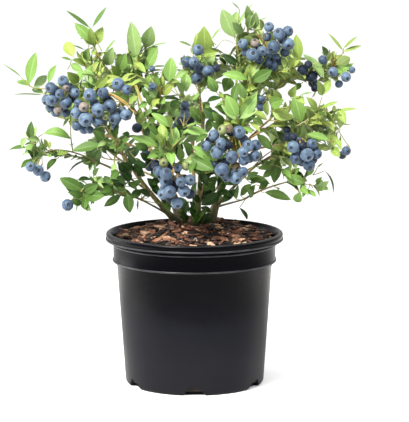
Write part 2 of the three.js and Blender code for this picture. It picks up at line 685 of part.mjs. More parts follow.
// A cluster hangs as a raceme: a stalk arches out of the stem and runs down through the cluster's middle,
// and every berry has a short stalk of its own from the nearest place on it.
function growFruit(own, spaces, limbs) {
  const berries = [];
  const stalks = [];
  for (const cluster of own.mass.fruit) {
    const middle = vector(cluster.at);
    const top = middle.clone().addScaledVector(up, cluster.tall * 0.7);
    const foot = middle.clone().addScaledVector(up, -cluster.tall * 0.35);
    const joint = nearestOnSpine(own.stem, stemRings, top, 0.2);
    const stalk = new THREE.QuadraticBezierCurve3(joint, top, foot);
    const kept = packBerries(cluster).filter((centre) => (
      clearOfLimbs([centre], limbs, berry.radius + 0.5) && ballInOwnSpace(centre, own, spaces)));
    if (kept.length === 0) continue;
    stalks.push(stalk);
    for (const centre of kept) {
      const lifted = centre.clone().addScaledVector(up, 3);
      berries.push({ centre, root: nearestOnSpine(stalk, stalkRings, lifted, 0.3) });
    }
  }
  return { berries, stalks };
}

function ballInOwnSpace(centre, own, spaces) {
  const nearest = Math.min(...own.sites.map((site) => site.distanceTo(centre)));
  const margin = cellMargin + berry.radius;
  return spaces.every((other) => other === own
    || other.sites.every((site) => borderDistance(centre, own.sites, nearest, site) > margin));
}

// The place on a twig, past a first share of it, that lies nearest to a point.
function nearestOnSpine(curve, rings, point, first) {
  let best = null;
  for (let share = first; share <= 0.9; share += 0.05) {
    const place = onSpine(curve, rings, share);
    if (!best || place.distanceTo(point) < best.distanceTo(point)) best = place;
  }
  return best;
}

// ---- foliage: its solids ----

// A blade of six faces: two on top that meet along the midrib, and four below that meet at the keel.
function leafSolid(corners) {
  const blade = new THREE.SphereGeometry(1, 3, 2);
  const place = blade.attributes.position;
  const ringCorners = [corners.tip, corners.keel, corners.root];
  for (let i = 0; i < place.count; i += 1) {
    const turn = Math.atan2(place.getZ(i), -place.getX(i));
    let corner = ringCorners[Math.round(turn * 3 / (2 * Math.PI) + 3) % 3];
    if (place.getY(i) > 0.5) corner = corners.left;
    if (place.getY(i) < -0.5) corner = corners.right;
    place.setXYZ(i, corner.x, corner.y, corner.z);
  }
  return solid(blade);
}

function berrySolid(centre) {
  const ball = new THREE.IcosahedronGeometry(berry.radius * 1.06, 0);
  ball.translate(centre.x, centre.y, centre.z);
  return solid(ball);
}

function makeMass(own, spaces, limbs) {
  const shoots = growShoots(own, spaces, limbs);
  const { berries, stalks } = growFruit(own, spaces, limbs);
  const leaves = growLeaves(own, shoots, berries, spaces, limbs);
  const solids = [stemSolid(own.stem, twig.stemRadius)];
  for (const shoot of shoots) solids.push(spindleSolid(shoot, twig.shootRadius, shootRings));
  for (const stalk of stalks) solids.push(spindleSolid(stalk, twig.shootRadius, stalkRings));
  for (const { centre, root } of berries) {
    solids.push(spindleSolid(arch(root, centre, 0), berry.pedicelRadius, shootRings));
    solids.push(berrySolid(centre));
  }
  for (const corners of leaves) solids.push(leafSolid(corners));
  return mainBody(join(solids));
}

// ---- materials ----

function potPlastic() {
  return new THREE.MeshStandardMaterial({ color: 0x1e2023, roughness: 0.42, metalness: 0 });
}

function peat() {
  return new THREE.MeshStandardMaterial({ color: 0x2b1d14, roughness: 0.95, metalness: 0 });
}

function barkChips() {
  return new THREE.MeshStandardMaterial({ color: 0x5b3524, roughness: 0.9, metalness: 0 });
}

function caneBark() {
  return new THREE.MeshStandardMaterial({ color: 0x6c6238, roughness: 0.8, metalness: 0 });
}

function leafGreen() {
  return new THREE.MeshStandardMaterial({ color: 0x5f9a3f, roughness: 0.55, metalness: 0 });
}

// ---- assembly ----

function part(name, geometry, material) {
  const mesh = new THREE.Mesh(geometry, material);
  mesh.name = name;
  return mesh;
}

function buildPlant() {
  const plant = new THREE.Group();
  const limbs = layOutLimbs();
  plant.add(part('pot', makePot(), potPlastic()));
  plant.add(part('root_ball', makeRootBall(), peat()));
  plant.add(part('bark_mulch', makeMulch(limbs), barkChips()));
  for (const limb of limbs.values()) plant.add(part(limb.name, makeLimb(limb), caneBark()));
  const spaces = layOutSpaces(limbs);
  for (const own of spaces) plant.add(part(own.mass.name, makeMass(own, spaces, limbs), leafGreen()));
  return plant;
}

export default buildPlant();
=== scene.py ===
# A fruiting highbush blueberry in its nursery pot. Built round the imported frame, in metres.
import json
import math

import bmesh
import bpy
import numpy as np
from mathutils import Matrix, Vector, noise

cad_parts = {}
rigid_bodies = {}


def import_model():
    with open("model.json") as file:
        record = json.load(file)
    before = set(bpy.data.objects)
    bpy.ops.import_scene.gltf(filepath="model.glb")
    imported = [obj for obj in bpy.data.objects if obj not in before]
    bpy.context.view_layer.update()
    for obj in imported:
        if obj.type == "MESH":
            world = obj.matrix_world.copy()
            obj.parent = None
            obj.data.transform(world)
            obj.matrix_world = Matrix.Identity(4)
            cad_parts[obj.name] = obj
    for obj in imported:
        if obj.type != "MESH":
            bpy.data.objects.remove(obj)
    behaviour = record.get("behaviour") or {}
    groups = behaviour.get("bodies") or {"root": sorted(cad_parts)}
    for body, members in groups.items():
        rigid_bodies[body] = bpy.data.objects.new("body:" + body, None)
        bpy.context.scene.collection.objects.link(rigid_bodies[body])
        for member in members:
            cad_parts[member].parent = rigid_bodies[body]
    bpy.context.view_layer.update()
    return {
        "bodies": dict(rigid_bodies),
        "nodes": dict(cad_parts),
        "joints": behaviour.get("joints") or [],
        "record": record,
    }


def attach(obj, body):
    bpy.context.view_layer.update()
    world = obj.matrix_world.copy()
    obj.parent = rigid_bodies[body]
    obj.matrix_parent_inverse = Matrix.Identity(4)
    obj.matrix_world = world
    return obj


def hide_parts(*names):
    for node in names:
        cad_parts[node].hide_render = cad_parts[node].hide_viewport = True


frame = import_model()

mm = 0.001
up = np.array([0.0, 0.0, 1.0])

# ---- camera and light ----

camera = {
    "place": (11, -2568.4, 594.8), "target": (11, 0, 190.8),   # millimetres
    "lens": 201.62, "sensor": 36, "frame": (409, 422), "farClip": 200,
}
studio = {
    "world": "FFFFFF", "worldStrength": 1.08, "floor": "FAFAF9", "floorSize": 120, "floorRoughness": 0.9,
    # The first is the key: soft and snooted, so it lights the plant and not the floor in front of it.
    # Place and aim (m), power (W), cone and softness of its edge, radius (m), colour.
    "spots": [((-1.3, -1.62, 2.27), (0, 0, 0.3), 1400, 15.5, 0.3, 0.4, "FFFAF0"),
              # This one makes a bright pool on the floor at the left, which the pot's wall mirrors.
              ((-0.6, -0.12, 1.5), (-0.6, -0.12, 0), 330, 27, 0.4, 0.05, "FFFFFF")],
    # Softboxes: place, aim (m), width and height (m), power (W), colour.
    "softboxes": [((1.5, -1.0, 1.0), (0, 0, 0.25), 1.2, 1.2, 8, "F4F8FF"),
                  ((-1.5, 0.5, 0.4), (0, 0, 0.1), 1.0, 0.8, 16, "FFFFFF"),
                  ((0, -1.2, 1.5), (0, 0, 0.15), 2.8, 0.35, 22, "FFFFFF")],
}


def linear(hexColour):
    parts = [int(hexColour[i:i + 2], 16) / 255 for i in (0, 2, 4)]
    return tuple(p / 12.92 if p <= 0.04045 else ((p + 0.055) / 1.055) ** 2.4 for p in parts) + (1.0,)


def setInputs(material, node, inputs):
    for name, value in inputs.items():
        if isinstance(value, bpy.types.NodeSocket):
            material.node_tree.links.new(value, node.inputs[name])
        else:
            node.inputs[name].default_value = value


def addNode(material, kind, inputs=None, **settings):
    node = material.node_tree.nodes.new("ShaderNode" + kind)
    for name, value in settings.items():
        setattr(node, name, value)
    setInputs(material, node, inputs or {})
    return node


def deselectAll():
    if bpy.context.mode != "OBJECT":
        bpy.ops.object.mode_set(mode="OBJECT")
    bpy.ops.object.select_all(action="DESELECT")


def aim(thing, place, target):
    thing.rotation_euler = (Vector(target) - Vector(place)).to_track_quat("-Z", "Y").to_euler()


def makeCamera():
    bpy.ops.object.camera_add(location=Vector(camera["place"]) * mm)
    cam = bpy.context.object
    aim(cam, camera["place"], camera["target"])
    cam.data.lens = camera["lens"]
    cam.data.sensor_width = camera["sensor"]
    cam.data.sensor_fit = "AUTO"
    cam.data.clip_end = camera["farClip"]
    bpy.context.scene.camera = cam


def makeStudio():
    world = bpy.data.worlds.new("studio")
    world.use_nodes = True
    background = world.node_tree.nodes["Background"]
    background.inputs["Color"].default_value = linear(studio["world"])
    background.inputs["Strength"].default_value = studio["worldStrength"]
    bpy.context.scene.world = world
    bpy.context.scene.view_settings.view_transform = "Standard"
    for place, target, power, cone, edge, radius, colour in studio["spots"]:
        bpy.ops.object.light_add(type="SPOT", location=place)
        spot = bpy.context.object
        aim(spot, place, target)
        spot.data.energy = power
        spot.data.spot_size = math.radians(cone)
        spot.data.spot_blend = edge
        spot.data.shadow_soft_size = radius
        spot.data.color = linear(colour)[:3]
    for place, target, width, height, power, colour in studio["softboxes"]:
        bpy.ops.object.light_add(type="AREA", location=place)
        light = bpy.context.object
        aim(light, place, target)
        light.data.shape = "RECTANGLE"
        light.data.size, light.data.size_y = width, height
        light.data.energy = power
        light.data.color = linear(colour)[:3]
    bpy.ops.mesh.primitive_plane_add(size=studio["floorSize"], location=(0, 0, 0))
    floor = bpy.context.object
    floor.name = "floor"
    paint = bpy.data.materials.new("matte floor paint")
    paint.use_nodes = True
    shader = paint.node_tree.nodes["Principled BSDF"]
    shader.inputs["Base Color"].default_value = linear(studio["floor"])
    shader.inputs["Roughness"].default_value = studio["floorRoughness"]
    floor.data.materials.append(paint)


viewPlace = np.array(camera["place"], float)
viewAhead = np.array(camera["target"], float) - viewPlace
viewAhead /= np.linalg.norm(viewAhead)
viewRight = np.array([1.0, 0.0, 0.0])
viewUp = np.cross(viewRight, viewAhead)
viewScale = camera["lens"] / camera["sensor"] * camera["frame"][1]
viewMiddle = np.array([camera["frame"][0] / 2, camera["frame"][1] / 2])
frameUnit = -camera["place"][1] / viewScale     # millimetres to a unit of the frame, at the pot


# Where points (mm) stand in the camera's frame, across and down.
def inFrame(points):
    away = np.atleast_2d(points) - viewPlace
    depth = away @ viewAhead
    return np.stack([viewMiddle[0] + viewScale * (away @ viewRight) / depth,
                     viewMiddle[1] - viewScale * (away @ viewUp) / depth], axis=1)


# The point (mm) that stands at a place of the frame, at a depth y.
def fromFrame(across, down, y):
    ray = viewAhead + (across - viewMiddle[0]) / viewScale * viewRight
    ray = ray + (viewMiddle[1] - down) / viewScale * viewUp
    return viewPlace + (y - viewPlace[1]) / ray[1] * ray


# ---- materials ----

def newMaterial(name):
    material = bpy.data.materials.new(name)
    material.use_nodes = True
    return material, material.node_tree.nodes["Principled BSDF"]


def objectPlace(material, scale=(1, 1, 1)):
    place = addNode(material, "TexCoord")
    return addNode(material, "Mapping", {"Vector": place.outputs["Object"], "Scale": scale}).outputs[0]


def mixColours(material, factor, first, second):
    return addNode(material, "Mix", {0: factor, 6: first, 7: second}, data_type="RGBA").outputs[2]


def setRamp(node, stops):
    ramp = node.color_ramp
    while len(ramp.elements) < len(stops):
        ramp.elements.new(0.5)
    for element, (place, colour) in zip(ramp.elements, stops):
        element.position = place
        element.color = linear(colour) if isinstance(colour, str) else (colour, colour, colour, 1)
    return node.outputs[0]


def addBump(material, shader, height, strength, distance):
    bump = addNode(material, "Bump", {"Height": height, "Strength": strength, "Distance": distance})
    setInputs(material, shader, {"Normal": bump.outputs[0]})


# Injection-moulded black polypropylene: satin, with random blotches. Its base colour is painted light by height:
# near black under the band as painted shade, greyer low down as a painted reflection of the pale floor.
def blackPolypropylene():
    material, shader = newMaterial("moulded black polypropylene")
    cloud = addNode(material, "TexNoise", {"Vector": objectPlace(material, (14, 14, 30)), "Scale": 1.0,
                                           "Detail": 5.0, "Roughness": 0.6})
    grain = addNode(material, "TexNoise", {"Vector": objectPlace(material), "Scale": 900.0, "Detail": 2.0})
    place = addNode(material, "TexCoord")
    height = addNode(material, "SeparateXYZ", {"Vector": place.outputs["Object"]})
    # Painted shade and reflection: darker towards the top of the wall, greyer towards the bottom, mixed with random
    # blotches.
    low = addNode(material, "MapRange", {"Value": height.outputs["Z"], "From Min": 0.137, "From Max": 0.02})
    blot = addNode(material, "Math", {0: cloud.outputs[0], 1: 0.35, 2: -0.17}, operation="MULTIPLY_ADD")
    paintedLightAndBlots = addNode(material, "Math", {0: low.outputs[0], 1: blot.outputs[0]}, operation="ADD")
    shade = setRamp(addNode(material, "ValToRGB", {"Fac": paintedLightAndBlots.outputs[0]}),
                    [(0.12, "010103"), (0.32, "040407"), (0.58, "0F1015"), (0.9, "15151A")])
    gloss = setRamp(addNode(material, "ValToRGB", {"Fac": paintedLightAndBlots.outputs[0]}), [(0.1, 0.27), (0.6, 0.4)])
    setInputs(material, shader, {"Base Color": shade, "Roughness": gloss, "IOR": 1.49, "Specular IOR Level": 0.05})
    addBump(material, shader, grain.outputs[0], 0.06, 0.0003)
    return material


# The same plastic, paler and glossier: a painted highlight along the crests of the ribs and the turn of the lip.
def crestHighlightPolypropylene():
    material, shader = newMaterial("scuffed black polypropylene")
    scuff = addNode(material, "TexNoise", {"Vector": objectPlace(material, (60, 60, 400)), "Scale": 1.0,
                                           "Detail": 4.0})
    shade = setRamp(addNode(material, "ValToRGB", {"Fac": scuff.outputs[0]}),
                    [(0.35, "141417"), (0.55, "232327"), (0.7, "333338")])
    setInputs(material, shader, {"Base Color": shade, "Roughness": 0.45, "IOR": 1.49, "Specular IOR Level": 0.2})
    return material


# Moist peat and coir: dull, fibrous and nearly black.
def moistPeat():
    material, shader = newMaterial("moist peat")
    fibre = addNode(material, "TexNoise", {"Vector": objectPlace(material), "Scale": 260.0, "Detail": 6.0})
    shade = setRamp(addNode(material, "ValToRGB", {"Fac": fibre.outputs[0]}),
                    [(0.3, "080503"), (0.55, "120B07"), (0.75, "21160F")])
    setInputs(material, shader, {"Base Color": shade, "Roughness": 0.95})
    addBump(material, shader, fibre.outputs[0], 0.8, 0.0015)
    return material


# Shredded bark: fibres 0.5 mm apart run along each chip, with weathered, paler ridges.
def shreddedBark(name, dark, middle, pale):
    material, shader = newMaterial(name)
    fibre = addNode(material, "TexNoise", {"Vector": objectPlace(material, (500, 500, 900)), "Scale": 1.0,
                                           "Detail": 4.0, "Roughness": 0.65})
    patch = addNode(material, "TexNoise", {"Vector": objectPlace(material), "Scale": 170.0, "Detail": 3.0})
    both = addNode(material, "Math", {0: fibre.outputs[0], 1: patch.outputs[0]}, operation="ADD")
    half = addNode(material, "Math", {0: both.outputs[0], 1: 0.5}, operation="MULTIPLY")
    shade = setRamp(addNode(material, "ValToRGB", {"Fac": half.outputs[0]}),
                    [(0.34, dark), (0.5, middle), (0.66, pale)])
    setInputs(material, shader, {"Base Color": shade, "Roughness": 0.88})
    addBump(material, shader, fibre.outputs[0], 0.6, 0.0008)
    return material


# Cane bark: grey-olive and slightly flaked low down, darkest at the foot partly as painted shade under the crown,
# yellow-green to orange-brown where it is younger.
def caneBark():
    material, shader = newMaterial("smooth young cane bark")
    place = addNode(material, "TexCoord")
    height = addNode(material, "SeparateXYZ", {"Vector": place.outputs["Object"]})
    streak = addNode(material, "TexNoise", {"Vector": objectPlace(material, (420, 420, 70)), "Scale": 1.0,
                                            "Detail": 5.0, "Roughness": 0.65})
    share = addNode(material, "MapRange", {"Value": height.outputs["Z"], "From Min": 0.17, "From Max": 0.33})
    shift = addNode(material, "Math", {0: streak.outputs[0], 1: 0.5, 2: -0.25}, operation="MULTIPLY_ADD")
    mixed = addNode(material, "Math", {0: share.outputs[0], 1: shift.outputs[0]}, operation="ADD")
    # Darker towards the foot: older bark, and painted shade under the crown.
    shade = setRamp(addNode(material, "ValToRGB", {"Fac": mixed.outputs[0]}),
                    [(0.0, "2E2F1C"), (0.2, "635F34"), (0.42, "7F6B3A"), (0.7, "84683A"), (1.0, "746034")])
    dark = setRamp(addNode(material, "ValToRGB", {"Fac": streak.outputs[0]}), [(0.32, 1.0), (0.5, 0.0)])
    flaked = mixColours(material, dark, shade, linear("2C2718"))
    setInputs(material, shader, {"Base Color": flaked, "Roughness": 0.62})
    addBump(material, shader, streak.outputs[0], 0.5, 0.0006)
    return material


# A year-old or green twig: thin waxy bark over green.
def twigBark(name, first, second):
    material, shader = newMaterial(name)
    cloud = addNode(material, "TexNoise", {"Vector": objectPlace(material), "Scale": 60.0, "Detail": 3.0})
    shade = setRamp(addNode(material, "ValToRGB", {"Fac": cloud.outputs[0]}), [(0.38, first), (0.62, second)])
    setInputs(material, shader, {"Base Color": shade, "Roughness": 0.5})
    return material


# A blade: waxy upper side, paler midrib and side veins drawn from the leaf's own UV, u across, v along.
def leafBlade(name, base, rib, roughness=0.52):
    material, shader = newMaterial(name)
    uv = addNode(material, "UVMap", uv_map="blade")
    parts = addNode(material, "SeparateXYZ", {"Vector": uv.outputs[0]})
    off = addNode(material, "Math", {0: parts.outputs["X"], 1: 0.5}, operation="SUBTRACT")
    aside = addNode(material, "Math", {0: off.outputs[0]}, operation="ABSOLUTE")
    ribLine = setRamp(addNode(material, "ValToRGB", {"Fac": aside.outputs[0]}), [(0.015, 0.55), (0.055, 0.0)])
    # Side veins every seventh of the blade, swept towards the tip.
    swept = addNode(material, "Math", {0: aside.outputs[0], 1: -1.1, 2: parts.outputs["Y"]},
                    operation="MULTIPLY_ADD")
    wave = addNode(material, "Math", {0: swept.outputs[0], 1: 44.0}, operation="MULTIPLY")
    sine = addNode(material, "Math", {0: wave.outputs[0]}, operation="SINE")
    vein = setRamp(addNode(material, "ValToRGB", {"Fac": sine.outputs[0]}), [(0.75, 0.0), (1.0, 0.22)])
    cloud = addNode(material, "TexNoise", {"Vector": objectPlace(material), "Scale": 55.0, "Detail": 4.0})
    tone = setRamp(addNode(material, "ValToRGB", {"Fac": cloud.outputs[0]}), [(0.3, 0.86), (0.7, 1.1)])
    toned = addNode(material, "Mix", {0: 1.0, 6: linear(base), 7: tone}, data_type="RGBA", blend_type="MULTIPLY")
    veined = mixColours(material, vein, toned.outputs[2], linear(rib))
    ribbed = mixColours(material, ribLine, veined, linear(rib))
    setInputs(material, shader, {"Base Color": ribbed, "Roughness": roughness, "IOR": 1.45,
                                 "Specular IOR Level": 0.22})
    lines = addNode(material, "Math", {0: vein, 1: ribLine}, operation="ADD")
    addBump(material, shader, lines.outputs[0], 0.35, -0.0004)
    return material


# Blueberry skin: a grey-blue wax bloom, rubbed to dark navy in patches.
def bloomedSkin(name, bloom, rubbed, patchy=0.5, sheen=0.1, gloss=0.35):
    material, shader = newMaterial(name)
    cloud = addNode(material, "TexNoise", {"Vector": objectPlace(material), "Scale": 130.0, "Detail": 5.0,
                                           "Roughness": 0.62})
    rub = setRamp(addNode(material, "ValToRGB", {"Fac": cloud.outputs[0]}),
                  [(patchy - 0.14, 0.0), (patchy + 0.16, 1.0)])
    skin = mixColours(material, rub, linear(bloom), linear(rubbed))
    setInputs(material, shader, {"Base Color": skin, "Roughness": 0.55, "Sheen Weight": sheen,
                                 "Sheen Roughness": 0.5, "Specular IOR Level": gloss})
    return material


# A dried calyx: papery, brown-black in its cup.
def dryCalyx():
    material, shader = newMaterial("dry calyx")
    cloud = addNode(material, "TexNoise", {"Vector": objectPlace(material), "Scale": 700.0, "Detail": 3.0})
    shade = setRamp(addNode(material, "ValToRGB", {"Fac": cloud.outputs[0]}),
                    [(0.35, "0B0F16"), (0.7, "232C38")])
    setInputs(material, shader, {"Base Color": shade, "Roughness": 0.8})
    return material


# ---- shared mesh making ----

def keep(piece, slotName, *nodes):
    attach(piece, "root")
    if nodes:
        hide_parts(*nodes)
    return piece


def smoothShade(piece, angle):
    deselectAll()
    piece.select_set(True)
    bpy.context.view_layer.objects.active = piece
    bpy.ops.object.shade_smooth_by_angle(angle=math.radians(angle))


# In edit mode, the edges or faces that pass a test.
def selectWhere(piece, kind, test):
    shape = bmesh.from_edit_mesh(piece.data)
    for part in getattr(shape, kind):
        part.select_set(test(part))
    bmesh.update_edit_mesh(piece.data)


# A circle drawn up ring by ring and closed at its end. Each ring is a radius and a height (mm).
def drawRings(name, sides, rings):
    deselectAll()
    bpy.ops.mesh.primitive_circle_add(vertices=sides, radius=rings[0][0] * mm, fill_type="NGON",
                                      location=(0, 0, rings[0][1] * mm))
    piece = bpy.context.object
    piece.name = name
    bpy.ops.object.transform_apply(location=True)
    bpy.ops.object.mode_set(mode="EDIT")
    bpy.ops.mesh.select_mode(type="EDGE")
    for (radius, height), (nextRadius, nextHeight) in zip(rings, rings[1:]):
        # Only the ring's edges are carried on, so the floor stays behind as the underside.
        bpy.ops.mesh.extrude_edges_move(TRANSFORM_OT_translate={"value": (0, 0, (nextHeight - height) * mm)})
        bpy.ops.transform.resize(value=(nextRadius / radius, nextRadius / radius, 1),
                                 center_override=(0, 0, nextHeight * mm))
    bpy.ops.mesh.edge_face_add()
    bpy.ops.mesh.select_all(action="SELECT")
    bpy.ops.mesh.normals_make_consistent(inside=False)
    bpy.ops.object.mode_set(mode="OBJECT")
    return piece


# One mesh from arrays of points (mm) and polygons.
def meshPiece(name, points, polygons, materials, slots=None, uvs=None, smoothAngle=40):
    mesh = bpy.data.meshes.new(name)
    mesh.from_pydata((np.asarray(points) * mm).tolist(), [], polygons)
    for material in materials:
        mesh.materials.append(material)
    if slots is not None:
        mesh.polygons.foreach_set("material_index", np.asarray(slots, np.int32))
    if uvs is not None:
        layer = mesh.uv_layers.new(name="blade")
        corners = np.empty(len(mesh.loops), np.int32)
        mesh.loops.foreach_get("vertex_index", corners)
        layer.data.foreach_set("uv", np.asarray(uvs, np.float32)[corners].ravel())
    mesh.update()
    piece = bpy.data.objects.new(name, mesh)
    bpy.context.collection.objects.link(piece)
    smoothShade(piece, smoothAngle)
    return piece


# The points, polygons and material slots of a shape that was modelled once.
def takeShape(piece):
    mesh = piece.data
    points = np.array([v.co[:] for v in mesh.vertices])
    polygons = [list(p.vertices) for p in mesh.polygons]
    slots = [p.material_index for p in mesh.polygons]
    bpy.data.objects.remove(piece, do_unlink=True)
    return points, polygons, slots


# Points and polygons of many small things, on their way to one mesh.
class Growing:
    def __init__(self):
        self.points, self.polygons, self.slots, self.uvs, self.total = [], [], [], [], 0

    def add(self, points, polygons, slots, uvs=None):
        base = self.total
        self.points.append(points)
        self.polygons.extend([[base + i for i in polygon] for polygon in polygons])
        self.slots.extend(slots if hasattr(slots, "__len__") else [slots] * len(polygons))
        if uvs is not None:
            self.uvs.append(uvs)
        self.total += len(points)

    def piece(self, name, materials, smoothAngle=40):
        uvs = np.concatenate(self.uvs) if self.uvs else None
        return meshPiece(name, np.concatenate(self.points), self.polygons, materials, self.slots, uvs,
                         smoothAngle)


def makeRandom(seed):
    state = seed * 7919 + 104729

    def draw():
        nonlocal state
        state = (state * 16807) % 2147483647
        return state / 2147483647
    return draw


def unit(vector):
    return vector / np.linalg.norm(vector)


def crossAxes(tangent, reference):
    side = unit(np.cross(tangent, reference))
    return side, np.cross(side, tangent)


def awayFrom(tangent):
    reference = np.array([0.0, 1, 0]) if abs(tangent[1]) < 0.8 else np.array([1.0, 0, 0])
    return crossAxes(tangent, reference)[0]


def curveAt(curve, share):
    share = np.asarray(share, float)[..., None]
    return (1 - share) ** 2 * curve[0] + 2 * share * (1 - share) * curve[1] + share ** 2 * curve[2]


def curveHeading(curve, share):
    return unit((1 - share) * (curve[1] - curve[0]) + share * (curve[2] - curve[1]) + 1e-9)


def curveLength(curve):
    points = curveAt(curve, np.linspace(0, 1, 17))
    return float(np.linalg.norm(np.diff(points, axis=0), axis=1).sum())


def arch(start, tip, bow):
    start, tip = np.asarray(start, float), np.asarray(tip, float)
    return (start, (start + tip) / 2 + up * bow * np.linalg.norm(tip - start), tip)


# ---- pot ----

pot = {
    "height": 168, "lipHeight": 8.5, "rimRadius": 97.5, "lipInnerRadius": 92.6, "tuckRadius": 90.2,
    "ridgeHeight": 155.5, "ridgeProud": 1.2, "bandRadius": 89.4, "ledgeHeight": 136.5,
    "wallTopRadius": 85.9, "wallFootRadius": 76.6, "baseRadius": 73.5, "cornerHeight": 3.6,
    "wall": 1.8, "floor": 2.4, "sides": 96, "smoothAngle": 38,
    "beadHalf": 1.3, "highlightDeep": 0.35, "highlightHalf": 0.8,
}
notch = {"count": 6, "footWidth": 27, "topWidth": 11, "height": 9.3, "depth": 6}


# A rounded rib that runs round the wall.
def bead(radius, height):
    proud, half = pot["ridgeProud"], pot["beadHalf"]
    return [(radius + proud * math.cos(turn), height + half * math.sin(turn))
            for turn in (-1.45, -0.9, -0.3, 0.3, 0.9, 1.45)]


def potProfile():
    lipFoot = pot["height"] - pot["lipHeight"]
    rim, tuck, band, wall = pot["rimRadius"], pot["tuckRadius"], pot["bandRadius"], pot["wall"]
    ledge, ridge, top = pot["ledgeHeight"], pot["ridgeHeight"], pot["wallTopRadius"]
    foot, corner = pot["wallFootRadius"], pot["cornerHeight"]
    outer = [
        (pot["baseRadius"], 0), (pot["baseRadius"] + 1.6, 0.7), (foot - 0.5, 2.2), (foot, corner),
        (foot + 0.34 * (top - foot), corner + 0.34 * (ledge - corner)),
        (foot + 0.67 * (top - foot), corner + 0.67 * (ledge - corner)),
        (top - 0.1, ledge - 1.6), (top + 0.5, ledge - 0.9), (band, ledge - 0.5), *bead(band, ledge + 0.9),
        (band, ledge + 2.8), *bead(band, ridge), (tuck, ridge + 1.7),
        (tuck, lipFoot - 0.6), (tuck + 0.5, lipFoot - 0.1), (rim - 1.6, lipFoot), *bead(rim - 0.7, lipFoot + 1.3),
        (rim - 0.6, lipFoot + 3.1), (rim - 0.1, lipFoot + 4.2), (rim, pot["height"] - 2.2),
        (rim - 0.5, pot["height"] - 0.9), (rim - 1.5, pot["height"] - 0.2), (rim - 2.6, pot["height"]),
        (pot["lipInnerRadius"] + 0.6, pot["height"]), (pot["lipInnerRadius"], pot["height"] - 0.7),
    ]
    inner = [
        (tuck - wall, lipFoot + 1), (band - wall - 0.4, ledge + 1.6), (top - wall, ledge - 1),
        (foot - wall, corner + 2), (pot["baseRadius"] - 1, pot["floor"]),
    ]
    return outer + inner


# The wall is drawn up ring by ring, over the lip and down inside, and the foot is then notched.
def makePot(material, rubbed):
    piece = drawRings("nursery_pot", pot["sides"], potProfile())
    for i in range(notch["count"]):
        cutter = notchCutter(i * 2 * math.pi / notch["count"])
        cut = piece.modifiers.new("notch", "BOOLEAN")
        cut.operation, cut.solver, cut.object = "DIFFERENCE", "EXACT", cutter
        bpy.context.view_layer.objects.active = piece
        bpy.ops.object.modifier_apply(modifier=cut.name)
        bpy.data.objects.remove(cutter, do_unlink=True)
    piece.data.materials.clear()
    piece.data.materials.append(material)
    # The second paint, passed in as rubbed, is the painted highlight of the crests.
    piece.data.materials.append(rubbed)
    # The crests of the ribs, and the turn of the lip, get the paler plastic as a painted highlight.
    proud = 0.7 * pot["ridgeProud"]
    crests = [(pot["bandRadius"] + proud, pot["ledgeHeight"] + 0.9),
              (pot["bandRadius"] + proud, pot["ridgeHeight"]),
              (pot["rimRadius"] - 0.7 + proud, pot["height"] - pot["lipHeight"] + 1.3),
              (pot["rimRadius"] - 1.2, pot["height"] - 0.2)]
    for face in piece.data.polygons:
        radius, height = math.hypot(face.center.x, face.center.y) / mm, face.center.z / mm
        if any(radius > crest - pot["highlightDeep"] and abs(height - middle) < pot["highlightHalf"]
               for crest, middle in crests):
            face.material_index = 1
    smoothShade(piece, pot["smoothAngle"])
    return keep(piece, "pot_plastic", "pot")


# A foot notch: a cube drawn in at its top to a trapezoid.
def notchCutter(turn):
    reach = pot["baseRadius"] - notch["depth"]
    deselectAll()
    bpy.ops.mesh.primitive_cube_add(size=1)
    cutter = bpy.context.object
    half = notch["depth"] * 1.25
    cutter.data.transform(Matrix.Rotation(turn, 4, "Z")
                          @ Matrix.Translation((0, -(reach + half) * mm, (notch["height"] - 1) / 2 * mm))
                          @ Matrix.Diagonal((notch["footWidth"] * mm, notch["depth"] * 2.5 * mm,
                                             (notch["height"] + 1) * mm, 1)))
    bpy.ops.object.mode_set(mode="EDIT")
    selectWhere(cutter, "faces", lambda face: face.normal.z > 0.9)
    bpy.ops.transform.resize(value=(notch["topWidth"] / notch["footWidth"],) * 2 + (1,),
                             center_override=(math.sin(turn) * (reach + half) * mm,
                                              -math.cos(turn) * (reach + half) * mm, notch["height"] * mm))
    bpy.ops.object.mode_set(mode="OBJECT")
    return cutter


# ---- mulch ----

mulch = {
    "bottom": 150, "edgeHeight": 159.5, "crest": 176, "footRadius": 86.4, "edgeRadius": 87.4,
    "plateauRadius": 36, "slopePower": 0.95, "sides": 72, "lift": 2.2,
    "rings": (1, 0.93, 0.86, 0.79, 0.72, 0.64, 0.56, 0.47, 0.38, 0.28, 0.18, 0.08),
    "roughWithin": 0.086, "settled": 0.0012,       # metres
    "chips": 560, "crumbs": 500, "seed": 411, "chipReach": 84, "crumbReach": 86,
    # Shares of the paints, dark to pale, by how often each stands here.
    "chipTints": [0, 0, 0, 0, 0, 1, 1, 1, 2, 2, 3, 3, 4], "crumbTints": [0, 0, 0, 0, 0, 1, 1, 2, 2, 3, 4],
}


def mulchHeight(radius):
    if radius <= mulch["plateauRadius"]:
        return mulch["crest"]
    share = (radius - mulch["plateauRadius"]) / (mulch["edgeRadius"] - mulch["plateauRadius"])
    return mulch["crest"] - (mulch["crest"] - mulch["edgeHeight"]) * share ** mulch["slopePower"]


# The bed under the chips: a disc raised ring by ring, then roughened. Its near-black paint is the fines' own colour
# and also painted shade in the gaps between the chips.
def makeMulchBed(material):
    rings = [mulch["edgeRadius"] * share for share in mulch["rings"]]
    piece = drawRings("mulch_bed", mulch["sides"], [(mulch["footRadius"], mulch["bottom"])]
                      + [(ring, mulchHeight(ring)) for ring in rings])
    for vertex in piece.data.vertices:
        inside = math.hypot(vertex.co.x, vertex.co.y) < mulch["roughWithin"]
        if vertex.co.z > (mulch["bottom"] + 1) * mm and inside:
            rough = noise.noise(vertex.co * 90) + 0.6 * noise.noise(vertex.co * 220)
            vertex.co.z += mulch["lift"] * mm * rough - mulch["settled"]
    piece.data.materials.append(material)
    bpy.ops.object.shade_smooth()
    return keep(piece, "bark_mulch", "bark_mulch")


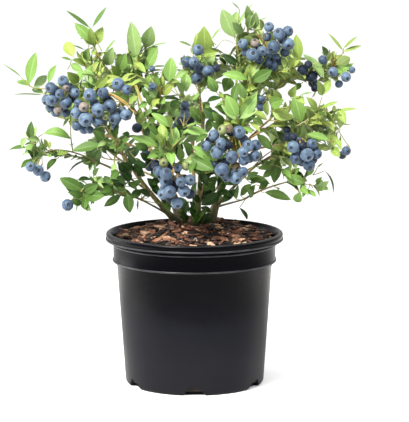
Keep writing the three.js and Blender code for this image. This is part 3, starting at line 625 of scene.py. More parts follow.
# A chip: a cube cut in strips, drawn in at its ends and torn along its edges.
def chipShape(variant):
    deselectAll()
    bpy.ops.mesh.primitive_cube_add(size=1)
    chip = bpy.context.object
    bpy.ops.object.mode_set(mode="EDIT")
    bpy.ops.mesh.subdivide(number_cuts=1)
    bpy.ops.object.mode_set(mode="OBJECT")
    for vertex in chip.data.vertices:
        end = abs(vertex.co.x) * 2
        taper = 1 - (0.35 + 0.15 * variant) * end ** 2
        vertex.co.y *= taper
        vertex.co.z *= 1 - 0.5 * end
        jitter = noise.noise_vector(vertex.co * 2.3 + Vector((variant * 7.1, 3, 1)))
        vertex.co += Vector((jitter.x * 0.22, jitter.y * 0.2, jitter.z * 0.3))
    return takeShape(chip)


# Bigger pieces that catch the eye: place in the frame, length, width, thickness (mm), turn (degrees), paint.
eyeChips = [
    (251, 227, 13, 9, 4, 15, 4), (258, 230, 12, 8, 4, -30, 4), (246, 231, 10, 6, 3, 70, 4),
    (255, 234, 11, 5, 3, 20, 3), (238, 238, 15, 6, 3, 35, 3), (214, 226.5, 17, 2.6, 2.4, 24, 5),
    (219, 229, 9, 2.4, 2.2, 30, 5), (146, 235, 12, 7, 3, -25, 4), (168, 240, 10, 6, 3, 10, 4),
    (152, 229, 12, 7, 3, 30, 2), (128, 231, 13, 6, 3, 20, 2), (171, 241, 16, 5, 3, 8, 3),
    (221, 240, 13, 6, 2.6, -12, 2), (160, 229, 14, 3, 2.5, -35, 4), (139, 228, 12, 5, 3, 40, 3),
    (186, 239, 12, 5, 3, 70, 2),
]
perlite = [(195.5, 241), (197, 242.5), (228, 236), (151, 240), (241, 233)]


def scatterChips(materials):
    random = makeRandom(mulch["seed"])
    shapes = [chipShape(variant) for variant in range(3)]
    chips = Growing()

    def layChip(x, y, lift, size, turn, tilt, slant, tint):
        points, polygons, _ = shapes[int(random() * 2.99)]
        turned = (Matrix.Rotation(turn, 3, "Z") @ Matrix.Rotation(tilt, 3, "X")
                  @ Matrix.Rotation(slant, 3, "Y"))
        placed = (points * np.array(size)) @ np.array(turned).T
        radius = math.hypot(x, y)
        placed += np.array([x, y, mulchHeight(radius) + lift])
        reach = np.hypot(placed[:, 0], placed[:, 1])
        limit = np.where(placed[:, 2] > 158, 86.9, 86.0)
        placed[:, :2] *= np.minimum(1, limit / np.maximum(reach, 1))[:, None]
        chips.add(placed, polygons, tint)

    def pick(tints):
        return tints[int(random() * (len(tints) - 0.01))]

    for _ in range(mulch["chips"]):
        radius, turn = mulch["chipReach"] * math.sqrt(random()), 2 * math.pi * random()
        length = 7 + 14 * random() ** 1.6
        tint = pick(mulch["chipTints"])
        layChip(radius * math.cos(turn), radius * math.sin(turn), -0.8 + 3.4 * random(),
                (length, 2.2 + 4.6 * random(), 1.3 + 1.3 * random()), math.pi * random(),
                1.1 * (random() - 0.5), 0.8 * (random() - 0.5), tint)
    for _ in range(mulch["crumbs"]):
        radius, turn = mulch["crumbReach"] * math.sqrt(random()), 2 * math.pi * random()
        size = 1.6 + 2.6 * random()
        tint = pick(mulch["crumbTints"])
        layChip(radius * math.cos(turn), radius * math.sin(turn), 0.4 + 1.6 * random(),
                (size * 1.5, size * 0.8, size * 0.6), math.pi * random(), random() - 0.5, random() - 0.5, tint)
    for across, down, length, width, thick, turn, tint in eyeChips:
        layChip(*onMulch(across, down), 2.0, (length, width, thick), math.radians(turn), 0.25, 0.12, tint)
    for across, down in perlite:
        layChip(*onMulch(across, down), 2.2, (1.9, 1.7, 1.5), random(), 0.4, 0.2, 6)
    return keep(chips.piece("bark_chips", materials, 50), "bark_mulch", "bark_mulch")


# The place on the mulch that shows at a place of the frame.
def onMulch(across, down):
    best = None
    for y in range(-86, 60, 2):
        point = fromFrame(across, down, y)
        gap = abs(point[2] - mulchHeight(min(86, math.hypot(point[0], y))))
        if best is None or gap < best[0]:
            best = (gap, point[0], y)
    return best[1:]


# ---- canes and boughs ----

canes = [
    # name, foot, tip, bow, radius at foot and tip
    ("cane_left", (-18, 12), (-86, -38, 274), -0.11, 3.8, 1.8),
    ("cane_mid_left", (-12, 27), (-58, -2, 300), 0.03, 3.5, 1.6),
    ("cane_centre", (3, 34), (10, 16, 286), 0, 3.3, 1.6),
    ("cane_right", (18, 14), (48, -11, 280), 0.03, 4.6, 1.9),
    ("cane_back_left", (-17, 42), (-66, 82, 286), 0.02, 3.6, 1.6),
    ("cane_back_right", (17, 40), (64, 74, 290), 0.02, 3.8, 1.6),
    ("cane_back", (1, 47), (-4, 100, 268), 0.04, 3.2, 1.5),
    ("basal_shoot", (3, -4), (5, -14, 192), 0, 2.0, 1.4),
]
boughs = [
    # name, cane, place along it, tip, bow, radius at foot and tip
    ("bough_low_left", "cane_left", 0.1, (-56, -24, 206), 0.02, 1.8, 1.2),
    ("bough_left", "cane_left", 0.46, (-88, -20, 240), 0.04, 1.8, 1.2),
    ("bough_left_mid", "cane_left", 0.62, (-77, -66, 262), 0.02, 1.8, 1.3),
    ("bough_far_left", "cane_left", 0.84, (-112, -14, 306), 0.04, 1.8, 1.3),
    ("bough_mid_left", "cane_mid_left", 0.66, (-38, -40, 304), 0.02, 1.8, 1.3),
    ("bough_front_left", "cane_mid_left", 0.36, (-24, -58, 246), 0.05, 2.0, 1.4),
    ("bough_top_left", "cane_mid_left", 0.84, (-86, 0, 332), 0, 1.7, 1.3),
    ("bough_top", "cane_centre", 0.8, (6, -4, 322), 0.02, 1.3, 1.0),
    ("bough_low_right", "cane_right", 0.16, (54, -28, 208), 0, 1.7, 1.1),
    ("bough_right", "cane_right", 0.16, (62, -24, 240), 0.03, 2.9, 1.5),
    ("bough_front_right", "cane_right", 0.55, (38, -66, 272), 0.03, 2.0, 1.4),
    ("bough_right_inner", "cane_right", 0.72, (76, -54, 294), 0.02, 1.7, 1.3),
    ("bough_right_upper", "cane_right", 0.8, (92, -10, 290), 0.05, 1.9, 1.3),
    ("bough_crown_right", "cane_right", 0.88, (46, 12, 330), 0, 1.7, 1.3),
    ("bough_top_right", "cane_right", 0.95, (90, 4, 326), 0.02, 1.8, 1.3),
    ("bough_side_left", "cane_back_left", 0.6, (-112, 52, 272), 0.05, 1.8, 1.3),
    ("bough_back_low_left", "cane_back_left", 0.36, (-74, 98, 228), -0.02, 1.8, 1.2),
    ("bough_side_right", "cane_back_right", 0.6, (106, 46, 260), 0.04, 1.8, 1.3),
    ("bough_back_low_right", "cane_back_right", 0.36, (78, 96, 232), -0.02, 1.8, 1.2),
    ("bough_crown_back", "cane_back", 0.74, (4, 72, 308), -0.02, 1.7, 1.3),
]
bark = {
    "sides": 14, "ringStep": 5, "ridge": 0.05, "slim": 0.95, "boughSlim": 0.8, "taper": 1.4, "tipDraw": 0.8,
    "nodeEvery": 19, "nodeSwell": 0.16, "flare": 0.4, "flareLength": 14, "sink": 12, "smoothAngle": 60,
}


def layOutLimbs():
    limbs = {}

    def lay(name, start, tip, bow, base, end, cane):
        curve = arch(start, tip, bow)
        limbs[name] = {"name": name, "curve": curve, "base": base, "end": end, "cane": cane,
                       "length": curveLength(curve)}

    for name, foot, tip, bow, base, end in canes:
        lay(name, (*foot, mulch["crest"]), tip, bow, base, end, True)
    for name, cane, share, tip, bow, base, end in boughs:
        lay(name, curveAt(limbs[cane]["curve"], share), tip, bow, base, end, False)
    for limb in limbs.values():
        limb["track"] = curveAt(limb["curve"], np.linspace(0, 1, 25))
        limb["reach"] = limbRadius(limb, np.linspace(0, 1, 25))
    return limbs


def limbRadius(limb, share):
    taper = limb["end"] + (limb["base"] - limb["end"]) * (1 - share) ** bark["taper"]
    if limb["cane"]:
        taper = taper * (1 + bark["flare"] * np.exp(-share * limb["length"] / bark["flareLength"]))
    return taper


# A cylinder cut into rings, bent along its limb, with ridges and bud nodes.
def makeLimb(limb, material):
    rings = max(6, int(limb["length"] / bark["ringStep"]))
    deselectAll()
    bpy.ops.mesh.primitive_cylinder_add(vertices=bark["sides"], radius=1, depth=1, location=(0, 0, 0.5))
    piece = bpy.context.object
    piece.name = limb["name"] + "_bark"
    bpy.ops.object.transform_apply(location=True)
    bpy.ops.object.mode_set(mode="EDIT")
    bpy.ops.mesh.select_mode(type="EDGE")
    selectWhere(piece, "edges", lambda edge: abs(edge.verts[0].co.z - edge.verts[1].co.z) > 0.5)
    bpy.ops.mesh.subdivide(number_cuts=rings)
    bpy.ops.object.mode_set(mode="OBJECT")
    curve, length = limb["curve"], limb["length"]
    slim = bark["slim" if limb["cane"] else "boughSlim"]
    reference = awayFrom(curveHeading(curve, 0.5))
    phase = len(limb["name"]) * 1.7 + limb["base"] * 5      # no two limbs are ridged alike
    for vertex in piece.data.vertices:
        share = min(1.0, max(0.0, vertex.co.z))
        turn = math.atan2(vertex.co.y, vertex.co.x)
        heading = curveHeading(curve, share)
        side, over = crossAxes(heading, reference)
        far = share * length
        ridge = bark["ridge"] * noise.noise(Vector((turn * 1.3, far * 0.08, phase)))
        step = (far / bark["nodeEvery"]) % 1
        budTurn = math.floor(far / bark["nodeEvery"]) * 2.4 + phase
        swell = bark["nodeSwell"] * math.exp(-((step - 0.5) / 0.1) ** 2)
        swell = swell * (0.4 + 0.6 * max(0, math.cos(turn - budTurn)))
        radius = slim * limbRadius(limb, share) * (1 + 2 * ridge + swell)
        if share > 0.999:
            radius *= bark["tipDraw"]
        point = curveAt(curve, share) + radius * (math.cos(turn) * side + math.sin(turn) * over)
        if limb["cane"] and share < 1e-4:
            point[2] -= bark["sink"]
        vertex.co = Vector(point * mm)
    piece.data.materials.append(material)
    smoothShade(piece, bark["smoothAngle"])
    return keep(piece, "cane_bark", limb["name"])


# ---- foliage: where it grows ----

masses = [
    # name after foliage_, limb, tip of leading stem, shoots, spread, seed, region
    ("low_shoot", "basal_shoot", (14, -52, 251), 4, 32, 12, "centre"),
    ("low_left", "bough_low_left", (-126, -62, 228), 6, 28, 2, "left"),
    ("far_left_low", "bough_left", (-174, -42, 262), 6, 28, 39, "left"),
    ("left_mid", "bough_left_mid", (-88, -100, 258), 5, 28, 4, "left"),
    ("far_left", "bough_far_left", (-174, -20, 340), 5, 26, 35, "left"),
    ("left", "cane_left", (-112, -64, 334), 6, 34, 6, "left"),
    ("mid_left", "bough_mid_left", (-36, -58, 334), 6, 38, 38, "centre"),
    ("front_left", "bough_front_left", (-22, -108, 286), 5, 32, 8, "centre"),
    ("top_left", "bough_top_left", (-114, -6, 382), 5, 30, 9, "left"),
    ("tall_left", "cane_mid_left", (-60, 4, 372), 5, 32, 10, "centre"),
    ("top", "bough_top", (8, 0, 356), 4, 28, 37, "centre"),
    ("centre", "cane_centre", (-4, 36, 338), 4, 34, 13, "centre"),
    ("front_right", "bough_front_right", (46, -92, 326), 6, 34, 14, "centre"),
    ("crown_right", "bough_crown_right", (46, 12, 386), 6, 30, 31, "right"),
    ("right", "cane_right", (76, -20, 350), 5, 34, 16, "right"),
    ("top_right", "bough_top_right", (154, -4, 346), 5, 30, 17, "right"),
    ("far_right", "bough_right_upper", (140, -26, 288), 5, 30, 18, "right"),
    ("right_inner", "bough_right_inner", (98, -68, 318), 4, 30, 19, "right"),
    ("right_mid", "bough_right", (120, -64, 276), 6, 32, 20, "right"),
    ("low_right", "bough_low_right", (126, -60, 238), 6, 30, 41, "right"),
    ("back_left", "cane_back_left", (-84, 92, 346), 6, 38, 22, "back"),
    ("back_right", "cane_back_right", (86, 90, 348), 6, 38, 23, "back"),
    ("back", "cane_back", (-8, 140, 296), 6, 36, 24, "back"),
    ("side_left", "bough_side_left", (-154, 58, 308), 5, 32, 25, "back"),
    ("side_right", "bough_side_right", (136, 54, 292), 5, 32, 26, "back"),
    ("back_low_left", "bough_back_low_left", (-108, 126, 248), 5, 32, 27, "back"),
    ("back_low_right", "bough_back_low_right", (108, 124, 252), 5, 32, 28, "back"),
    ("crown_back", "bough_crown_back", (4, 80, 364), 4, 34, 29, "back"),
]
fruit = {
    # mass: its clusters, as centre, number of berries, half width across and up
    "low_left": [((-136, -72, 208), 1, 1, 1)],
    "far_left_low": [((-170, -50, 243), 5, 13, 8)],
    "left": [((-144, -78, 324), 11, 16, 17), ((-110, -92, 315), 14, 19, 19), ((-78, -74, 322), 8, 15, 15)],
    "mid_left": [((-46, -62, 344), 2, 3, 9)],
    "front_left": [((-22, -88, 231), 13, 17, 18)],
    "top": [((2, -30, 352), 8, 15, 15)],
    "front_right": [((42, -100, 268), 18, 23, 20)],
    "right": [((92, -30, 382), 9, 15, 17), ((64, -38, 362), 5, 12, 10)],
    "top_right": [((122, -22, 349), 4, 11, 11), ((154, -26, 343), 5, 11, 13)],
    "right_mid": [((114, -74, 268), 9, 17, 17)],
    "back_left": [((-92, 122, 334), 9, 18, 16)],
    "back_right": [((98, 112, 338), 9, 18, 16)],
    "back": [((-18, 138, 270), 10, 18, 17)],
    "side_left": [((-156, 70, 292), 6, 14, 12)],
    "side_right": [((136, 68, 278), 6, 14, 12)],
}
growth = {
    "first": 0.14, "run": 0.78, "lowest": 1.15, "shrink": 0.45, "shortest": 0.8, "vary": 0.4,
    "tries": 3, "cutBack": 0.75, "goldenTurn": 137.508, "leaving": 46, "rise": 0.24,
    "cellMargin": 0.7, "limbMargin": 2.4,
    "twigAt": (0.34, 0.62), "twigLength": 0.52, "twigMargin": 1.5,
    "stemRadius": 1.35, "shootRadius": 0.95, "twigRadius": 0.65,
}
foliage = {
    # longest and shortest leaf, spacing along the twig, free room, seed
    "passes": [(31, 20, 8.5, 3.6, 500), (19, 14, 6.5, 2.8, 700), (17, 12, 5.5, 2.4, 900)],
    "narrow": 0.47, "lean": 52, "leafTurn": 144, "turnStep": 1.3, "shrink": 0.93, "fold": 0.3, "tries": 6,
    "aboveMulch": 5, "limbRoom": 1.5, "berryRoom": 0.8, "nearby": 30,
}
# How bright a spray is painted: by height (mm), reach from the middle (mm), chance and side. Low, inner and left
# sprays get darker paint as painted shade, right ones paler as painted light.
spray = {"low": 205, "rise": 200, "reach": 120, "reachShare": 0.5, "chance": 0.7, "side": 0.2, "sideReach": 90}
fruiting = {
    # how far back a berry behind two others stands, the room it needs, how near the two are, and its radius
    "behind": 11, "behindRoom": 10.5, "neighbour": 18, "behindRadius": 5.6,
    "oversize": 1.06, "setBack": 9, "longestStalk": 26, "nod": 0.25, "tumble": 1.2, "packed": 6.3,
}

# The crown's edge from the front, clockwise in the camera's frame.
crownEdge = [
    (47, 92), (60, 76), (66, 58), (66, 42), (76, 24), (92, 28), (104, 31), (104, 50), (110, 47), (116, 50),
    (122, 54), (127, 50), (129, 23), (136, 24), (141, 40), (148, 28), (156, 30), (157, 46), (158, 58),
    (150, 70), (166, 70), (174, 57), (177, 72), (181, 56), (190, 52), (194, 34), (206, 27), (212, 46),
    (220, 50), (220, 14), (232, 20), (238, 12), (240, 28), (252, 10), (257, 20), (262, 28), (293, 24),
    (300, 45), (302, 60), (322, 50), (330, 48), (352, 58), (352, 82), (335, 92), (332, 100), (338, 108),
    (342, 130), (338, 156), (325, 150), (310, 168), (326, 180), (332, 196), (318, 200), (300, 190), (300, 200),
    (285, 196), (262, 192), (250, 200), (238, 212), (232, 198), (222, 210), (205, 228), (195, 228), (180, 215),
    (166, 206), (150, 196), (146, 192), (132, 212), (125, 205), (104, 207), (92, 212), (76, 211), (60, 182),
    (78, 178), (90, 172), (86, 165), (68, 160), (55, 160), (46, 175), (22, 168), (20, 158), (10, 150),
    (22, 140), (26, 122), (36, 122), (42, 132), (56, 128), (72, 140), (88, 140), (96, 132), (92, 126),
    (84, 136), (60, 118), (46, 112), (42, 98),
]
# Openings where the sky shows through: middle and half sizes.
openings = [
    (72, 168, 13, 7), (130, 126, 8, 5), (123, 156, 5, 4), (78, 150, 10, 4), (139, 178, 6, 6), (134, 157, 3, 4),
    (187, 152, 3, 5), (199, 188, 3, 4), (184, 206, 6, 6), (159, 176, 3, 3), (306, 88, 6, 4), (335, 96, 10, 9),
    (312, 103, 10, 6), (286, 93, 6, 8), (263, 113, 5, 3), (268, 121, 6, 4), (172, 92, 8, 6), (186, 89, 5, 5),
    (215, 38, 3, 9), (229, 42, 7, 9), (243, 21, 3, 6), (208, 97, 10, 8), (109, 158, 8, 6), (128, 44, 2, 8),
    (266, 150, 6, 10), (251, 167, 6, 7), (263, 177, 7, 4), (284, 173, 6, 5), (112, 62, 5, 7), (146, 98, 5, 6),
    (143, 108, 4, 5), (64, 70, 5, 7), (101, 47, 4, 4), (124, 128, 5, 9), (105, 168, 6, 7), (47, 161, 7, 4),
    (262, 94, 3, 5), (185, 51, 5, 3.5), (221, 50, 4, 3), (197, 88, 5, 6), (320, 170, 8, 7), (150, 178, 2, 3),
    (190, 55, 3, 3), (86, 137, 7, 3), (83, 46, 5, 4), (45, 118, 7, 6), (60, 124, 9, 5), (242, 191, 3, 6),
    (242, 21, 4, 5), (61, 145, 8, 4), (312, 180, 4, 6), (283, 186, 5, 4),
]


# A leading stem runs on from its limb's tip; some are arched more (mm).
stemArch = {"low_right": 9}


def leadingStem(limb, tip, lift=0):
    heading = curveHeading(limb["curve"], 1)
    start = limb["curve"][2] + 0.3 * heading
    tip = np.array(tip, float)
    return (start, start + 0.4 * np.linalg.norm(tip - start) * heading + lift * up, tip)


def sideShoot(stem, share, turn, length):
    start, heading = curveAt(stem, share), curveHeading(stem, share)
    across, over = crossAxes(heading, awayFrom(heading))
    slant = math.radians(growth["leaving"])
    out = (across * math.cos(turn) + over * math.sin(turn)) * math.sin(slant) + heading * math.cos(slant)
    return (start, start + 0.5 * length * out, start + 0.92 * length * out + growth["rise"] * length * up)


def clearOfLimbs(points, limbs, margin):
    for limb in limbs.values():
        reach = limb["reach"] + margin
        gaps = np.linalg.norm(points[:, None] - limb["track"][None], axis=2)
        if (gaps < reach[None]).any():
            return False
    return True


# What lies nearer to a mass's own stem and fruit than to any other mass's is its space.
def inOwnSpace(points, own, sites, owners, margin):
    gaps = np.linalg.norm(points[:, None] - sites[None], axis=2)
    mine = owners == own
    home = sites[mine][gaps[:, mine].argmin(axis=1)]
    nearest = gaps[:, mine].min(axis=1)
    between = np.linalg.norm(home[:, None] - sites[~mine][None], axis=2)
    return bool(((gaps[:, ~mine] ** 2 - nearest[:, None] ** 2) / (2 * between) > margin).all())


def growTwigs(limbs):
    stems = [leadingStem(limbs[mass[1]], mass[2], stemArch.get(mass[0], 0)) for mass in masses]
    sites, owners = [], []
    for own, mass in enumerate(masses):
        points = list(curveAt(stems[own], np.linspace(0, 1, 6)))
        points += [np.array(cluster[0], float) for cluster in fruit.get(mass[0], [])]
        sites += points
        owners += [own] * len(points)
    sites, owners = np.array(sites), np.array(owners)
    twigs = []
    for own, (_, _, _, shoots, spread, seed, _) in enumerate(masses):
        random = makeRandom(seed)
        stem = stems[own]
        leader = {"curve": stem, "radius": growth["stemRadius"], "mass": own, "rank": 0, "seed": seed}
        twigs.append(leader)
        for i in range(shoots):
            share = growth["first"] + growth["run"] * (i + 0.5) / shoots
            turn = math.radians(i * growth["goldenTurn"] + 40 * random() + seed * 50)
            length = spread * (growth["lowest"] - growth["shrink"] * share)
            length *= growth["shortest"] + growth["vary"] * random()
            for _ in range(growth["tries"]):
                shoot = sideShoot(stem, share, turn, length)
                probes = curveAt(shoot, np.linspace(0, 1, 7))[2:]
                if inOwnSpace(probes, own, sites, owners, growth["cellMargin"]) \
                        and clearOfLimbs(probes, limbs, growth["limbMargin"]):
                    twigs.append({"curve": shoot, "radius": growth["shootRadius"], "mass": own, "rank": 1,
                                  "seed": seed * 31 + i, "parent": leader, "at": share})
                    break
                length *= growth["cutBack"]
    # The same rule once more gives the finer twigs of each side shoot.
    for shoot in [twig for twig in twigs if twig["rank"] == 1]:
        random = makeRandom(shoot["seed"] + 900)
        for i, at in enumerate(growth["twigAt"]):
            length = curveLength(shoot["curve"]) * growth["twigLength"] * (0.8 + 0.4 * random())
            turn = math.radians(i * growth["goldenTurn"] + 360 * random())
            twig = sideShoot(shoot["curve"], at, turn, length)
            if clearOfLimbs(curveAt(twig, np.linspace(0, 1, 5))[2:], limbs, growth["twigMargin"]):
                twigs.append({"curve": twig, "radius": growth["twigRadius"], "mass": shoot["mass"], "rank": 2,
                              "seed": shoot["seed"] + 50 + i, "parent": shoot, "at": at})
    return twigs


# ---- foliage: what shows from the front ----

# Twigs: middle line in the frame, depth at the far end (mm), radius (mm), mass.
frontTwigs = [
    ([(102, 162), (88, 157.5), (73, 152.2), (60, 150), (51.6, 150.5), (40, 155), (33, 159.5)], -45, 1.0,
     "far_left_low"),
    ([(43, 154), (42, 160), (44, 170)], -50, 0.5, "far_left_low"),
    ([(72, 152), (71, 138), (70, 116)], -48, 0.8, "far_left_low"),
    ([(44, 153), (35, 146), (30, 138)], -44, 0.6, "far_left_low"),
    ([(104, 54), (100, 66), (99, 80)], -30, 0.8, "top_left"),
    ([(100, 50), (96, 40), (90, 28)], -8, 0.7, "top_left"),
    ([(80, 84), (60, 88), (34, 88), (24, 80)], -30, 0.9, "far_left"),
    ([(132, 92), (134, 72), (138, 56)], 0, 0.9, "tall_left"),
    ([(124, 82), (133, 66), (143, 50), (148, 44)], 2, 0.8, "tall_left"),
    ([(200, 84), (203, 68), (207, 54)], -6, 0.9, "top"),
    ([(207, 54), (216, 48), (224, 40), (236, 44)], -4, 0.5, "top"),
    ([(243, 84), (240, 62), (236, 40)], 8, 1.0, "crown_right"),
    ([(240, 58), (246, 44), (249, 29)], 10, 0.8, "crown_right"),
    ([(270, 95), (278, 86), (290, 78), (300, 70)], -20, 1.1, "right"),
    ([(288, 80), (286, 70), (285, 60)], -22, 0.6, "right"),
    ([(300, 76), (318, 74), (330, 66), (343, 53)], -10, 0.9, "top_right"),
    ([(294, 128), (310, 118), (318, 108), (322, 97)], -40, 0.8, "far_right"),
    ([(318, 112), (328, 112), (337, 128), (345, 141), (350, 147)], -34, 0.8, "far_right"),
    ([(250, 137), (262, 129), (280, 126), (297, 121)], -60, 0.9, "right_inner"),
    ([(245, 174), (262, 158), (275, 149), (287, 142)], -62, 0.9, "right_mid"),
    ([(308, 134), (320, 138), (333, 140)], -50, 0.6, "right_mid"),
    ([(290, 180), (306, 184), (320, 186)], -56, 0.6, "low_right"),
    ([(180, 96), (178, 88), (174, 80)], -36, 0.4, "mid_left"),
    ([(182, 96), (187, 86), (190, 74)], -34, 0.4, "mid_left"),
    ([(134, 84), (141, 100), (148, 114), (156, 130), (165, 146)], -74, 2.0, "front_left"),
    ([(232, 150), (237, 132), (239, 118)], -104, 0.8, "front_right"),
    ([(196, 132), (182, 140), (170, 148)], -84, 0.7, "front_left"),
    ([(194, 226), (193, 216), (196, 202)], -22, 0.8, "low_shoot"),
    ([(256, 108), (252, 96), (249, 84)], -50, 0.8, "front_right"),
]
